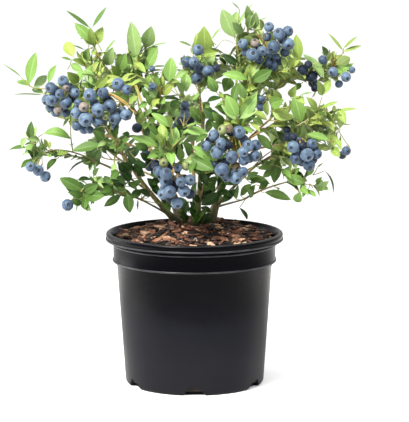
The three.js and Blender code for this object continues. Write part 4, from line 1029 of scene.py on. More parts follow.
# Leaves: root and tip in the frame, width across the view, tint. Tints are young, bright, middle, deep, shaded (k),
# glaucous, arched and hanging; bright is partly painted light, deep partly and shaded wholly painted shade. A
# capital hangs nearer than the fruit by it.
frontLeaves = [
    # far left and top left
    (22.5, 78, 3, 64, 1.5, "m"), (29, 86, 36, 52, 11, "m"), (31, 86, 17, 81, 6, "m"),
    (33, 88, 47, 75.5, 9, "g"), (48, 83, 56.5, 65, 6.5, "m"), (44, 95, 14, 94.5, 1.5, "d"),
    (91, 29, 66, 10.5, 3.9, "d"), (92, 28, 106.5, 7, 3.9, "d"), (95, 43, 74.5, 23, 11, "m"),
    (93, 46, 103, 27, 11, "b"), (74, 58, 66, 42, 12, "y"), (93, 46, 90, 27, 8, "b"), (86, 66, 72, 60, 6, "b"),
    (85, 50, 73, 45.5, 1.5, "d"), (72, 60, 61, 57.5, 2.5, "m"), (104, 54, 116, 39, 2, "m"),
    (87, 62, 88, 48, 7, "m"), (106, 66, 113, 47, 12, "g"), (118, 72, 126, 53, 12, "m"),
    (120, 76, 111, 65, 9, "b"), (79, 83, 67, 72, 10, "b"), (95, 90, 81, 84, 6, "m"), (96, 88, 108, 76, 9, "b"),
    (71, 114, 63, 127, 3, "g"), (129, 99, 110, 94, 9, "m"), (137, 60, 131, 21.5, 14.5, "g"),
    (146, 48, 151.5, 26, 14, "g"), (145, 72, 158, 47, 10, "m"), (150, 47, 167, 42.5, 1.5, "m"),
    (134, 63, 146, 73, 7, "b"), (133, 70, 143, 80, 6, "m"), (168.5, 83, 171.5, 57, 13, "m"),
    (166, 66, 153, 67, 2, "d"), (160, 71.5, 151, 77, 2, "k"), (160, 95, 174, 83, 10, "y"),
    (190, 69, 175, 79, 7, "g"), (186, 72, 186, 92, 11, "m"), (183, 94.5, 162, 98, 1.5, "d"),
    (93, 60, 104, 53, 5, "y"), (92, 72, 99, 62, 6, "y"), (100, 74, 93, 64, 6, "y"),
    # centre and top
    (205, 56, 204, 26, 16, "b"), (203, 55, 218, 52, 9, "b"), (211, 40, 221, 28, 2, "m"),
    (192, 46, 179, 41.5, 2.5, "m"), (191, 103, 207, 85, 3.5, "m"), (217, 93, 208, 76, 10, "m"),
    (227, 68, 219, 58, 4, "k"), (222, 97, 207, 102, 5, "k"), (171, 114, 180, 104, 7, "m"),
    (170, 107, 179, 100, 6, "k"), (205, 123, 190, 107, 12, "m"), (222, 122, 203, 108, 10, "k"),
    (235, 39, 222, 9, 16, "g"), (235, 38, 238, 12, 6, "g"), (243, 34, 232, 22, 8, "g"),
    (236, 30, 252, 3.5, 3, "g"), (240, 10, 232, 2.5, 1.5, "g"), (248, 30, 253, 10, 10, "g"),
    (254, 24, 267, 17.5, 1.5, "g"), (254, 30, 256, 12, 9, "g"), (262, 30, 260, 19, 5, "y"),
    (233, 37, 237, 11, 13, "g"), (299, 62, 296, 34, 11, "b"), (250, 80, 270, 53, 3, "G"),
    (251, 82, 272, 70, 12, "d"), (249, 80, 222, 74, 9, "m"), (230, 78, 224, 92, 13, "d"),
    (240, 66, 222, 54, 8, "k"), (244, 88, 257, 88, 7, "b"), (238, 119, 226, 95, 13, "m"),
    (240, 118, 257, 95, 13, "m"), (237, 121, 221, 105, 7, "g"), (239, 119, 258, 110, 7, "g"),
    (270, 104, 284, 100, 13, "m"), (271, 110, 292, 119, 12, "b"), (273, 88, 262, 82, 6, "b"),
    # right
    (302, 124, 294, 94, 14, "m"), (317, 112, 306, 97, 7, "b"), (321, 108, 338, 101.5, 3.5, "b"),
    (316, 112, 325, 113, 3, "d"), (336, 111, 327, 118, 8, "m"), (338, 108, 346, 124, 9, "b"),
    (333, 114, 341, 119, 6, "b"), (336, 111, 357, 108.5, 3, "b"), (340, 129, 337, 111, 7, "b"),
    (320, 124, 352, 125, 2, "b"), (284, 69, 283, 56, 6, "b"), (290, 68, 297, 57, 6, "b"),
    (300, 95, 312, 92.5, 1.5, "m"), (325, 80, 303, 54, 8, "G"), (330, 80, 354, 63, 8, "M"),
    (322, 96, 318, 80, 8, "b"), (322, 96, 330, 80, 8, "b"), (344, 52, 328, 33, 3, "b"),
    (343, 49, 357, 36.5, 3, "b"), (342, 52, 362, 45.5, 3.9, "b"), (327, 56, 322, 46, 6, "d"),
    (256, 133, 273, 150, 9, "m"), (276, 130, 284, 145, 6, "d"), (290, 125, 267, 127, 5, "y"),
    (305, 134, 330, 141, 7, "m"), (334, 133, 334, 147, 8, "b"), (332, 147, 340, 157, 9, "b"),
    (329, 150, 321, 149, 3, "b"), (278, 158, 274, 183, 11, "d"), (272, 168, 258, 169, 6, "m"),
    (280, 158, 292, 166, 7, "b"), (246, 180, 259, 173, 6, "d"), (244, 178, 270, 184, 8, "m"),
    (253, 197, 246, 188, 6, "d"), (256, 184, 250, 198, 6, "m"), (238, 184, 237, 199, 4.5, "m"),
    (263, 192, 291, 200, 9, "m"), (301, 191, 296, 202, 9, "m"), (305, 183, 285, 176, 11, "m"),
    (305, 178, 289, 171, 6, "d"), (317, 190, 329, 181, 8, "g"), (300, 186, 309, 195, 7, "m"),
    (324, 170, 333, 194, 2, "h"), (317, 168, 323, 163, 1.5, "m"), (239, 207, 247, 220, 4, "k"),
    # left, middle and low
    (31, 140, 31.5, 121, 8, "d"), (42, 134, 71, 139, 9, "a"), (27, 148, 9, 150, 4, "d"),
    (26, 137, 22, 148, 5, "g"), (40, 140, 27, 140, 6, "g"), (33, 160, 21, 168, 6, "d"),
    (33, 159, 27, 150, 4, "d"), (57, 158, 47, 170.5, 6, "d"), (70, 151, 57, 155, 5, "b"),
    (89, 160, 68, 174, 2.2, "h"), (103, 144.5, 72, 151, 9, "d"), (97, 147, 106, 142, 5, "g"),
    (95, 160, 100, 149, 9, "d"), (93, 160, 90, 171, 4, "d"), (93, 176, 99, 168, 5, "d"),
    (84, 190, 59.5, 178, 12, "d"), (84, 191, 99, 184, 11, "d"), (84, 195, 105, 196, 13, "d"),
    (82, 202, 91, 211, 8, "d"), (79, 200, 76, 212, 2, "d"), (93, 180, 78, 180, 4, "k"),
    (110, 190, 101, 183, 6, "k"), (101, 190, 115, 196, 7, "d"), (122, 194, 104, 206.5, 8, "d"),
    (127, 192, 130, 213, 11, "d"), (130, 134, 122, 134, 5, "k"), (118, 147, 130, 139, 6, "d"),
    (104, 140, 94, 130, 9, "d"), (112, 138, 110, 124, 9, "d"), (116, 140, 117, 125, 6, "d"),
    # centre low
    (160, 148, 131, 137, 9, "m"), (161, 150, 147, 158, 8, "m"), (171, 128, 151, 113, 8, "m"),
    (172, 128, 166, 115, 6, "b"), (163, 146, 157, 134, 7, "b"), (172, 148, 176, 127, 11, "m"),
    (183, 131, 208, 133, 8, "m"), (202, 137, 183, 143, 7, "g"), (178, 145, 181, 161, 8, "m"),
    (170, 151, 172, 165, 9, "m"), (191, 145, 212, 160, 9, "m"), (190, 157, 214, 170, 15, "d"),
    (222, 193, 201, 205, 11, "k"), (194, 226, 191, 210, 5, "m"), (194, 224, 205, 212, 6, "m"),
    (195, 218, 198, 205, 6, "d"), (138, 199, 138, 210, 2, "k"), (143, 190, 131, 195, 5, "d"),
    (137, 147, 126, 156, 9, "k"), (152, 186, 160, 178, 6, "d"), (193, 200, 197, 182, 6, "d"),
    (185, 127, 197, 123, 2, "m"), (232, 101, 238, 84, 9, "d"), (245, 99, 239, 82, 8, "m"),
    (212, 117, 206, 134, 8, "d"), (268, 121, 254, 112, 7, "b"), (206, 196, 198, 182, 7, "k"),
    (200, 172, 208, 186, 8, "k"), (196, 160, 190, 174, 6, "d"), (200, 132, 192, 126, 8, "m"),
    (207, 88, 214, 84, 5, "m"), (149, 150, 134, 143, 8, "d"), (146, 169, 133, 159, 8, "k"),
    (234, 190, 222, 203, 8, "k"), (306, 190, 316, 197, 5, "m"), (309, 188, 303, 198, 4, "m"),
    (316, 184, 322, 177, 5, "m"), (281, 168, 291, 179, 6, "m"), (184, 146, 190, 156, 6, "d"),
    (204, 108, 214, 118, 8, "m"), (196, 108, 200, 120, 7, "d"), (199, 152, 204, 140, 7, "m"),
    (152, 105, 145, 94, 7, "m"), (151, 108, 160, 99, 6, "y"), (147, 102, 138, 108, 6, "m"),
    (129, 104, 138, 96, 6, "b"), (155, 118, 147, 124, 6, "m"), (281, 103, 273, 89, 8, "b"),
    (296, 96, 305, 104, 6, "b"), (301, 83, 294, 91, 6, "m"), (224, 131, 211, 122, 8, "m"),
    (192, 150, 182, 142, 7, "d"), (208, 134, 196, 143, 6, "d"), (190, 213, 180, 197, 8, "k"),
    (184, 216, 189, 201, 7, "k"), (131, 176, 121, 166, 7, "k"), (151, 196, 138, 190, 7, "k"),
    (128, 182, 137, 190, 6, "d"), (220, 190, 232, 197, 7, "k"), (226, 200, 236, 190, 7, "k"),
    (205, 224, 212, 212, 6, "k"), (186, 224, 181, 211, 7, "k"), (124, 172, 118, 162, 7, "k"),
    (128, 168, 122, 180, 7, "k"), (117, 176, 126, 184, 7, "k"), (133, 186, 142, 180, 6, "d"),
    # shaded leaves, dark as painted shade, round the foot of the left cane, among the stems and behind the fruit
    (126, 157, 141, 147, 10, "k"), (133, 170, 120, 162, 9, "k"), (132, 180, 121, 172, 9, "k"),
    (118, 170, 111, 179, 8, "d"), (126, 184, 114, 182, 8, "k"), (134, 164, 128, 155, 8, "k"),
    (112, 186, 101, 193, 8, "d"), (113, 182, 103, 179, 7, "d"), (157, 187, 147, 178, 9, "k"),
    (160, 176, 152, 185, 8, "k"), (153, 184, 160, 197, 8, "k"), (151, 170, 160, 178, 8, "k"),
    (145, 168, 136, 160, 7, "k"), (198, 226, 194, 212, 8, "d"), (199, 222, 207, 208, 8, "d"),
    (203, 227, 211, 218, 7, "k"), (196, 217, 189, 207, 7, "k"), (84, 196, 68, 192, 8, "d"),
    (82, 204, 70, 200, 7, "d"), (240, 196, 252, 184, 7, "m"), (258, 190, 268, 181, 7, "d"),
    (262, 178, 272, 170, 7, "m"), (290, 97, 296, 85, 8, "b"), (267, 116, 268, 101, 6, "b"),
    (262, 127, 254, 118, 7, "b"), (224, 124, 212, 112, 9, "m"), (228, 112, 214, 107, 7, "d"),
    (212, 213, 201, 207, 6, "k"), (334, 138, 341, 150, 6, "b"), (203, 128, 195, 115, 8, "m"),
    (201, 112, 209, 102, 7, "m"), (249, 23, 247, 5, 8, "g"), (84, 72, 71, 64, 8, "m"),
    (86, 196, 84, 210, 8, "d"), (88, 192, 94, 204, 7, "d"), (141, 190, 131, 199, 7, "d"),
    (170, 213, 160, 198, 7, "m"), (173, 208, 168, 196, 6, "d"), (166, 204, 158, 192, 6, "k"),
    (236, 200, 232, 188, 6, "m"), (250, 183, 262, 179, 6, "m"), (283, 176, 292, 165, 8, "m"),
    (290, 178, 300, 168, 7, "m"), (44, 94, 32, 89, 6, "m"), (46, 150, 44, 139, 4, "y"),
    (50, 150, 50, 141, 4, "y"), (144, 56, 158, 46, 8, "m"), (200, 56, 196, 34, 9, "b"),
    (184, 95, 176, 82, 6, "m"), (148, 98, 142, 87, 7, "m"), (264, 124, 252, 119, 6, "m"),
    (318, 184, 329, 190, 7, "m"), (132, 166, 144, 172, 8, "k"), (150, 160, 140, 153, 8, "k"),
    (146, 176, 136, 171, 7, "k"), (154, 158, 163, 152, 7, "d"),
]
# Berries: place in the frame, radius across the view, kind: ripe, set back (s, given the darker light-bloom skin as
# painted shade), rubbed dark (n, also painted shade in the gaps), green, ripening (c) or dried.
frontBerries = [
    (51, 88, 5.5, "r"), (63, 81, 5.5, "r"), (66, 88.5, 3.5, "c"), (47, 100, 5.5, "s"), (52, 100, 6, "r"),
    (60, 94, 4.5, "r"), (66, 103, 6, "r"), (75, 93, 5, "r"), (90, 95, 6.3, "r"), (84, 107, 4.8, "c"),
    (58, 110, 4.3, "c"), (50, 108, 4, "s"), (66, 113, 4.5, "s"), (76, 113, 5.5, "r"), (98, 110, 6.5, "r"),
    (103, 93, 5.5, "r"), (110, 106, 6.2, "r"), (86, 119.5, 7, "r"), (97, 122, 5, "r"), (105, 117, 3, "g"),
    (115, 118, 6.3, "r"), (126, 115, 5.5, "r"), (118, 84, 6.3, "r"), (127, 90, 5, "r"), (122, 110, 4, "s"),
    (78, 103, 4, "s"), (77, 126, 5, "s"), (84, 129, 5, "s"), (90, 130, 4, "s"), (115, 127, 4, "s"),
    (198, 50, 5.5, "r"), (186.5, 62, 5.3, "r"), (194, 62, 5, "r"), (199, 68, 5, "s"), (197, 77, 6, "s"),
    (208, 71, 5.5, "r"), (216, 68, 4, "n"), (152, 68.5, 3, "r"), (152.5, 86.5, 4, "r"), (185, 105, 4.5, "r"),
    (185, 115, 5, "r"), (190, 121, 4.5, "n"), (181, 121, 4.5, "n"), (137, 128, 5, "n"), (243, 44, 5, "r"),
    (252.5, 55, 6.3, "r"), (262, 51, 5, "r"), (255, 43, 4.5, "c"), (269, 27, 5, "r"), (279, 34, 6, "r"),
    (288, 31, 5.3, "r"), (288, 44, 6.2, "r"), (274, 47, 6.5, "r"), (285, 52, 5, "s"), (267, 37, 4.5, "s"),
    (267, 63, 4.5, "s"), (273, 66, 5.5, "s"), (276, 57, 4, "s"), (246, 52, 4.5, "s"), (268, 54, 5, "s"),
    (281, 61, 4.5, "s"), (259, 60, 4.5, "s"), (303, 70, 5.5, "n"), (312, 76, 6, "n"), (308, 65, 4, "n"),
    (315, 88, 4, "n"), (323, 60, 4.8, "r"), (346, 77, 5, "r"), (352, 70, 3.5, "r"), (339, 84, 4, "s"),
    (333, 72, 5, "r"), (261, 99, 4, "r"), (261, 107, 4.5, "r"), (214, 135, 5.5, "r"), (206, 146, 5, "r"),
    (221, 143, 5, "r"), (217, 152, 6.5, "r"), (223, 130, 5, "g"), (229, 129, 4, "d"), (239, 132, 6, "r"),
    (232, 157, 6, "r"), (222, 170, 7, "r"), (215, 165, 4, "n"), (236, 178, 6, "r"), (236, 166, 4, "d"),
    (243, 152, 5, "r"), (244, 160, 5.5, "r"), (248, 146, 5.5, "r"), (256, 145, 5.5, "r"), (255, 156, 5.5, "r"),
    (243, 172, 5, "r"), (228, 145, 4.5, "n"), (226, 162, 4.5, "n"), (227, 177, 5, "r"), (158, 171, 5, "r"),
    (166, 174, 6, "r"), (166, 182, 6, "r"), (163, 194, 5.5, "r"), (170, 192, 6, "r"), (184, 191, 6, "r"),
    (190, 180, 5.5, "r"), (190, 194, 5, "n"), (177, 203, 6, "r"), (164, 163, 4.5, "g"), (186, 166, 4.5, "g"),
    (178, 168, 4, "r"), (179, 178, 4.5, "d"), (176, 187, 5, "n"), (181, 182, 5, "r"), (173, 180, 5, "n"),
    (146, 155, 5, "n"), (150, 165, 6, "n"), (156, 165, 5, "n"), (287, 130, 4, "n"), (288, 137, 4.5, "n"),
    (293, 137, 4, "n"), (293, 147, 6, "r"), (296, 158, 6, "r"), (307, 155, 6.5, "r"), (312, 144, 5, "r"),
    (317, 154, 5, "r"), (309, 165, 6, "r"), (303, 146, 5, "n"), (31, 167, 5, "r"), (38, 170.5, 5.5, "r"),
    (45, 176.5, 5.5, "r"), (67.5, 205, 5.8, "r"), (346, 151, 4.6, "s"), (342.5, 155, 4, "n"),
]
# Bare berry stalks that show in front of a cluster.
bareStalks = [
    (260, 36), (258, 41), (256, 34), (263, 33), (232, 142), (229, 146), (236, 145), (234, 138), (303, 139),
    (300, 143), (306, 142), (334, 60), (331, 63), (336, 57), (338, 63), (174, 172), (176, 165), (171, 178),
    (172, 165), (104, 92), (236, 168), (240, 164), (130, 108), (134, 112), (128, 104),
]
tints = {"y": 0, "b": 1, "m": 2, "d": 3, "k": 4, "g": 5, "a": 2, "h": 4}       # letter: leaf paint
skins = {"r": 0, "s": 2, "n": 1, "g": 3, "c": 4, "d": 5}       # letter: berry paint
arched = {"a": 0.3, "h": 0.14}       # letter: how far the blade arches, as a share of its length


# The shape of one leaf: rows from root to tip, columns from edge to edge, and a keel under the midrib.
leafRow = np.array([0, 0.07, 0.18, 0.33, 0.5, 0.68, 0.84, 0.94, 1])
leafHalf = np.array([0, 0.07, 0.5, 0.88, 1, 0.87, 0.54, 0.24, 0])
leafColumn = np.array([-1, -0.5, 0, 0.5, 1])


def leafFaces():
    inner = len(leafRow) - 2
    root, tip, keel = 0, 1, 2 + inner * 5
    at = lambda row, column: 2 + row * 5 + column
    faces, slots = [], []
    for column in range(4):
        faces.append([root, at(0, column), at(0, column + 1)])
        faces.append([tip, at(inner - 1, column + 1), at(inner - 1, column)])
        faces += [[at(row, column), at(row + 1, column), at(row + 1, column + 1), at(row, column + 1)]
                  for row in range(inner - 1)]
    slots += [0] * len(faces)
    under = [[root, keel, at(0, 0)], [root, at(0, 4), keel],
             [tip, at(inner - 1, 0), keel + inner - 1], [tip, keel + inner - 1, at(inner - 1, 4)]]
    for row in range(inner - 1):
        under.append([at(row, 0), keel + row, keel + row + 1, at(row + 1, 0)])
        under.append([keel + row, at(row, 4), at(row + 1, 4), keel + row + 1])
    faces += under
    slots += [1] * len(under)
    rows = np.repeat(leafRow[1:-1], 5)
    columns = np.tile(leafColumn, inner)
    uvs = np.concatenate([[[0.5, 0], [0.5, 1]], np.stack([(columns + 1) / 2, rows], axis=1),
                          np.stack([np.full(inner, 0.5), leafRow[1:-1]], axis=1)])
    return faces, slots, uvs


def leafPoints(leaf):
    along, across, face = leaf["axes"]
    length, width = leaf["length"], leaf["width"]

    def at(row, half, column, sunk=0.0):
        turn = leaf["twist"] * (row - 0.4)
        aside = math.cos(turn) * across + math.sin(turn) * face
        above = math.cos(turn) * face - math.sin(turn) * across
        lift = leaf["bulge"] * length * 4 * row * (1 - row)
        out = column * half * width / 2
        rise = abs(out) * leaf["fold"] + leaf["wave"] * width * half * abs(column) \
            * math.sin(row * 8 + leaf["phase"] + column)
        return leaf["root"] + along * length * row + face * lift + aside * out + above * (rise - sunk)

    points = [at(0, 0, 0), at(1, 0, 0)]
    for row, half in zip(leafRow[1:-1], leafHalf[1:-1]):
        points += [at(row, half, column) for column in leafColumn]
    points += [at(row, half, 0, 0.25 + 0.3 * half * (1 - row)) for row, half in zip(leafRow[1:-1], leafHalf[1:-1])]
    return np.array(points)


# ---- foliage: growing and placing ----

# All twigs, leaves and berries of the crown, with what stands for them when room is tested.
class Crown:
    def __init__(self, limbs, twigs):
        self.limbs, self.twigs = limbs, twigs
        self.stalks, self.leaves, self.berries = [], [], []
        self.takenPoints = np.empty((0, 3))
        self.berryPoints = np.empty((0, 4))
        self.discs = np.empty((0, 4))       # across, down, radius, depth of what must stay in view
        self.sampleTwigs()

    def sampleTwigs(self):
        places, owners = [], []
        for twig in self.twigs:
            if masses[twig["mass"]][6] == "back":
                continue
            track = curveAt(twig["curve"], np.linspace(0.05, 1, 14)) if "curve" in twig else twig["track"]
            places.append(track)
            owners += [twig["mass"]] * len(track)
        self.places = np.concatenate(places)
        self.placeOwners = np.array(owners)
        self.placeFrame = inFrame(self.places)

    def nearestTwig(self, across, down, mass=None):
        gaps = np.hypot(self.placeFrame[:, 0] - across, self.placeFrame[:, 1] - down)
        if mass is not None:
            gaps = np.where(self.placeOwners == mass, gaps, gaps + 1000)
        best = int(gaps.argmin())
        return self.places[best], int(self.placeOwners[best]), float(gaps[best] % 1000)


massIndex = {mass[0]: i for i, mass in enumerate(masses)}


def addFrontTwigs(crown):
    for line, depth, radius, name in frontTwigs:
        own = massIndex[name]
        start, _, _ = crown.nearestTwig(*line[0], own)
        limbPlaces = np.concatenate([limb["track"] for limb in crown.limbs.values()])
        limbFrame = inFrame(limbPlaces)
        gaps = np.hypot(limbFrame[:, 0] - line[0][0], limbFrame[:, 1] - line[0][1])
        startGap = np.hypot(*(inFrame(start)[0] - line[0]))
        if gaps.min() < startGap:
            start = limbPlaces[int(gaps.argmin())]
        count = len(line)
        track = [start]
        for i, (across, down) in enumerate(line):
            share = (i + 0.6) / (count - 0.4)
            track.append(fromFrame(across, down, start[1] + (depth - start[1]) * share))
        if np.hypot(*(inFrame(start)[0] - line[0])) < 4:
            track.pop(1)
        crown.twigs.append({"track": smoothTrack(np.array(track)), "radius": radius, "mass": own, "rank": 3,
                            "seed": own})
        crown.sampleTwigs()


# A line through all its points, rounded.
def smoothTrack(points, steps=4):
    padded = np.concatenate([[2 * points[0] - points[1]], points, [2 * points[-1] - points[-2]]])
    track = []
    for i in range(1, len(padded) - 2):
        a, b, c, d = padded[i - 1:i + 3]
        for step in range(steps):
            t = step / steps
            track.append(0.5 * (2 * b + (c - a) * t + (2 * a - 5 * b + 4 * c - d) * t ** 2
                                + (3 * b - 3 * c + d - a) * t ** 3))
    return np.array(track + [points[-1]])


def addLeaf(crown, root, along, across, face, length, width, tint, own, random, bulge=None):
    crown.leaves.append({
        "root": root, "axes": (along, across, face), "length": length, "width": width, "tint": tint,
        "region": masses[own][6], "bulge": 0.05 + 0.06 * random() if bulge is None else bulge,
        "fold": foliage["fold"] * (0.5 + random()), "twist": 0.5 * (random() - 0.5),
        "wave": 0.03 * random(), "phase": 6 * random(),
    })


def leafProbes(root, along, across, length, width):
    far = np.array([0.25, 0.5, 0.75, 1.0, 0.45, 0.45, 0.7, 0.7])
    aside = np.array([0, 0, 0, 0, 0.5, -0.5, 0.35, -0.35])
    return root + far[:, None] * length * along + aside[:, None] * width * across


def addFrontLeaves(crown):
    random = makeRandom(77)
    perUnit = frameUnit * 1.0125
    for x0, y0, x1, y1, wide, tint in frontLeaves:
        joint, own, _ = crown.nearestTwig(x0, y0)
        root = fromFrame(x0, y0, joint[1] - (20 if tint.isupper() else 0))
        tint = tint.lower()
        flat = math.hypot(x1 - x0, y1 - y0) * perUnit
        wide = wide * perUnit
        # A blade seen short for its width points towards the viewer or away.
        length = max(flat, min(wide / 0.5, flat * 1.7), min(24, flat * 1.5))
        lean = math.sqrt(max(0, length ** 2 - flat ** 2)) * (-1 if random() < 0.75 else 1)
        tip = fromFrame(x1, y1, joint[1] + lean)
        along = unit(tip - root)
        length = np.linalg.norm(tip - root)
        thin = wide < 4 * perUnit
        width = max(wide, (0.2 if thin else 0.36) * length)
        toward = unit(viewPlace - root)
        across = unit(np.cross(toward, along))
        facing = np.cross(along, across)
        turn = math.acos(min(1, wide / width))
        choices = []
        for sign in (-1, 1):
            side = math.cos(sign * turn) * across + math.sin(sign * turn) * facing
            choices.append((np.cross(along, side)[2], side))
        across = max(choices, key=lambda choice: choice[0])[1]
        face = np.cross(along, across)
        bulge = arched.get(tint, 0.02 if thin else 0.04 if turn > 0.6 else None)
        addLeaf(crown, root, along, across, face, length, width, tints[tint], own, random, bulge)
        if thin:
            crown.leaves[-1].update(fold=0.1, twist=0.1)
        if np.linalg.norm(root - joint) > 1.2:
            crown.stalks.append({"track": np.array([joint, (joint + root) / 2 - up, root + along]),
                                 "radius": 0.5, "region": masses[own][6], "tint": 1})
        probes = leafProbes(root, along, across, length, width)
        crown.takenPoints = np.concatenate([crown.takenPoints, probes])
        middle = inFrame(probes[:4])
        discs = np.column_stack([middle, np.full(4, max(1.5, wide / perUnit / 2)) * [0.9, 1, 0.9, 0.4],
                                 probes[:4, 1]])
        crown.discs = np.concatenate([crown.discs, discs])


def packBerries(centre, count, wide, tall):
    places = []
    for i in range(count):
        height = 1 - 2 * (i + 0.5) / count
        ring = math.sqrt(1 - height * height)
        turn = math.radians(i * growth["goldenTurn"])
        places.append(np.array([ring * math.cos(turn) * wide, ring * math.sin(turn) * wide, height * tall]))
    places = np.array(places) * (0 if count == 1 else 0.75)
    return spreadApart(places, np.full(count, fruiting["packed"]), 60) + np.array(centre, float)


def spreadApart(places, radii, passes, line=None):
    for _ in range(passes):
        for i in range(len(places)):
            for j in range(i + 1, len(places)):
                apart = places[j] - places[i]
                gap = np.linalg.norm(apart)
                short = (radii[i] + radii[j]) * 1.01 - gap
                if short > 0:
                    if line is None:
                        push = apart / (gap + 1e-6)
                    else:
                        push = line * (1 if apart @ line >= 0 else -1)
                    places[i] = places[i] - push * short / 2
                    places[j] = places[j] + push * short / 2
    return places


def addBerry(crown, centre, radius, skin, middle, root, region, random, facing=None):
    out = centre - middle
    direction = out / (np.linalg.norm(out) + 1e-6) + np.array([0, 0, -fruiting["nod"]])
    if facing is not None:
        direction = direction + facing
    direction = direction + fruiting["tumble"] * np.array([random() - 0.5, random() - 0.5, random() - 0.5])
    crown.berries.append({"centre": centre, "radius": radius, "skin": skin, "axis": unit(direction),
                          "region": region, "turn": 6 * random()})
    foot = centre - unit(direction) * radius * 0.85
    bend = (root + foot) / 2 + up * 1.5
    crown.stalks.append({"track": curveAt((root, bend, foot), np.linspace(0, 1, 6)), "radius": 0.55,
                         "region": region, "tint": 2 if random() < 0.6 else 1})
    crown.berryPoints = np.concatenate([crown.berryPoints, [[*centre, radius]]])


def addFruit(crown):
    random = makeRandom(99)
    clusters = []
    for name, groups in fruit.items():
        own = massIndex[name]
        for centre, count, wide, tall in groups:
            middle = np.array(centre, float)
            stem = next(twig["curve"] for twig in crown.twigs if twig["mass"] == own and twig["rank"] == 0)
            top = middle + up * tall * 0.7
            spine = curveAt(stem, np.linspace(0.2, 0.9, 15))
            joint = spine[int(np.linalg.norm(spine - top, axis=1).argmin())]
            stalk = curveAt((joint, top, middle - up * tall * 0.35), np.linspace(0, 1, 12))
            crown.stalks.append({"track": stalk, "radius": 0.95, "region": masses[own][6], "tint": 1})
            clusters.append({"own": own, "middle": middle, "stalk": stalk, "wide": wide, "tall": tall,
                             "count": count, "frame": inFrame(middle)[0]})
    front = [cluster for cluster in clusters if masses[cluster["own"]][6] != "back"]
    groups = {i: [] for i in range(len(front))}
    for across, down, radius, kind in frontBerries:
        gaps = [math.hypot(across - c["frame"][0], down - c["frame"][1]) for c in front]
        groups[int(np.argmin(gaps))].append((across, down, radius, kind))
    for i, berries in groups.items():
        cluster = front[i]
        wide = max(cluster["wide"], 8)
        places, radii = [], []
        for across, down, radius, kind in berries:
            off = math.hypot(across - cluster["frame"][0], down - cluster["frame"][1]) * frameUnit
            dome = wide * math.sqrt(max(0, 1 - (off / (wide * 1.6)) ** 2))
            depth = cluster["middle"][1] - dome * 0.9 + (fruiting["setBack"] if kind in "ns" else 0)
            places.append(fromFrame(across, down, depth))
            radii.append(fruiting["oversize"] * radius * frameUnit)
        places = spreadApart(np.array(places), radii, 40, viewAhead) if len(places) > 1 else places
        if len(berries) > 4:
            for behind in berriesBehind(places):
                places = np.concatenate([places, [behind]])
                radii.append(fruiting["behindRadius"])
                # Berries behind the others get the darker skins as painted shade.
                berries.append((*inFrame(behind)[0], 5, "s" if random() < 0.7 else "n"))
        for place, radius, (across, down, _, kind) in zip(places, radii, berries):
            root = cluster["stalk"][2 + int(np.linalg.norm(cluster["stalk"][2:] - place - 2 * up, axis=1).argmin())]
            if np.linalg.norm(root - place) > fruiting["longestStalk"]:
                root, _, _ = crown.nearestTwig(across, down - 4)
            skin = skins[kind] if kind != "r" else (0 if random() < 0.6 else 2)
            addBerry(crown, place, radius, skin, cluster["middle"], root, masses[cluster["own"]][6], random,
                     np.array([0, -0.75, 0.0]))
            spot = inFrame(place)[0]
            crown.discs = np.concatenate([crown.discs, [[*spot, radius / frameUnit + 1, place[1] + 2]]])
    for across, down in bareStalks:
        gaps = [math.hypot(across - c["frame"][0], down - c["frame"][1]) for c in front]
        cluster = front[int(np.argmin(gaps))]
        tip = fromFrame(across, down, cluster["middle"][1] - 10)
        root = cluster["stalk"][3]
        bend = (root + tip) / 2 + np.array([0, -2, 5])
        crown.stalks.append({"track": curveAt((root, bend, tip), np.linspace(0, 1, 7)), "radius": 0.7,
                             "region": masses[cluster["own"]][6], "tint": 3})
    for cluster in clusters:
        if masses[cluster["own"]][6] != "back":
            continue
        for place in packBerries(cluster["middle"], cluster["count"], cluster["wide"], cluster["tall"]):
            gaps = np.linalg.norm(cluster["stalk"][3:] - place - 3 * up, axis=1)
            root = cluster["stalk"][3 + int(gaps.argmin())]
            skin = [0, 0, 2, 0, 1, 2, 0, 3][int(random() * 7.99)]
            if inTheOpen(inFrame(place)):
                continue
            addBerry(crown, place, 5.4 + 1.4 * random(), skin, cluster["middle"], root,
                     masses[cluster["own"]][6], random)


# Between two neighbours of a cluster's face another berry shows behind them.
def berriesBehind(places):
    found = []
    for i in range(len(places)):
        gaps = np.linalg.norm(places - places[i], axis=1)
        for j in np.argsort(gaps)[1:4]:
            spot = (places[i] + places[j]) / 2 + viewAhead * fruiting["behind"]
            others = np.concatenate([places, found]) if found else places
            room = np.linalg.norm(others - spot, axis=1).min() > fruiting["behindRoom"]
            if room and gaps[j] < fruiting["neighbour"] and not inTheOpen(inFrame(spot)):
                found.append(spot)
    return found


def insideEdge(frame, edge):
    inside = np.zeros(len(frame), bool)
    x, y = frame[:, 0], frame[:, 1]
    for (x0, y0), (x1, y1) in zip(edge, edge[1:] + edge[:1]):
        if y0 == y1:
            continue
        crosses = ((y0 > y) != (y1 > y)) & (x < (x1 - x0) * (y - y0) / (y1 - y0) + x0)
        inside ^= crosses
    return inside


holes = np.array(openings, float)


def inTheOpen(frame):
    if not insideEdge(frame, crownEdge).all():
        return True
    for across, down, wide, tall in holes:
        if (((frame[:, 0] - across) / wide) ** 2 + ((frame[:, 1] - down) / tall) ** 2 < 1).any():
            return True
    return False


def staysInView(crown, probes):
    frame = inFrame(probes)
    if inTheOpen(frame):
        return False
    gaps = np.hypot(frame[:, None, 0] - crown.discs[None, :, 0], frame[:, None, 1] - crown.discs[None, :, 1])
    return not ((gaps < crown.discs[None, :, 2]) & (probes[:, None, 1] < crown.discs[None, :, 3])).any()


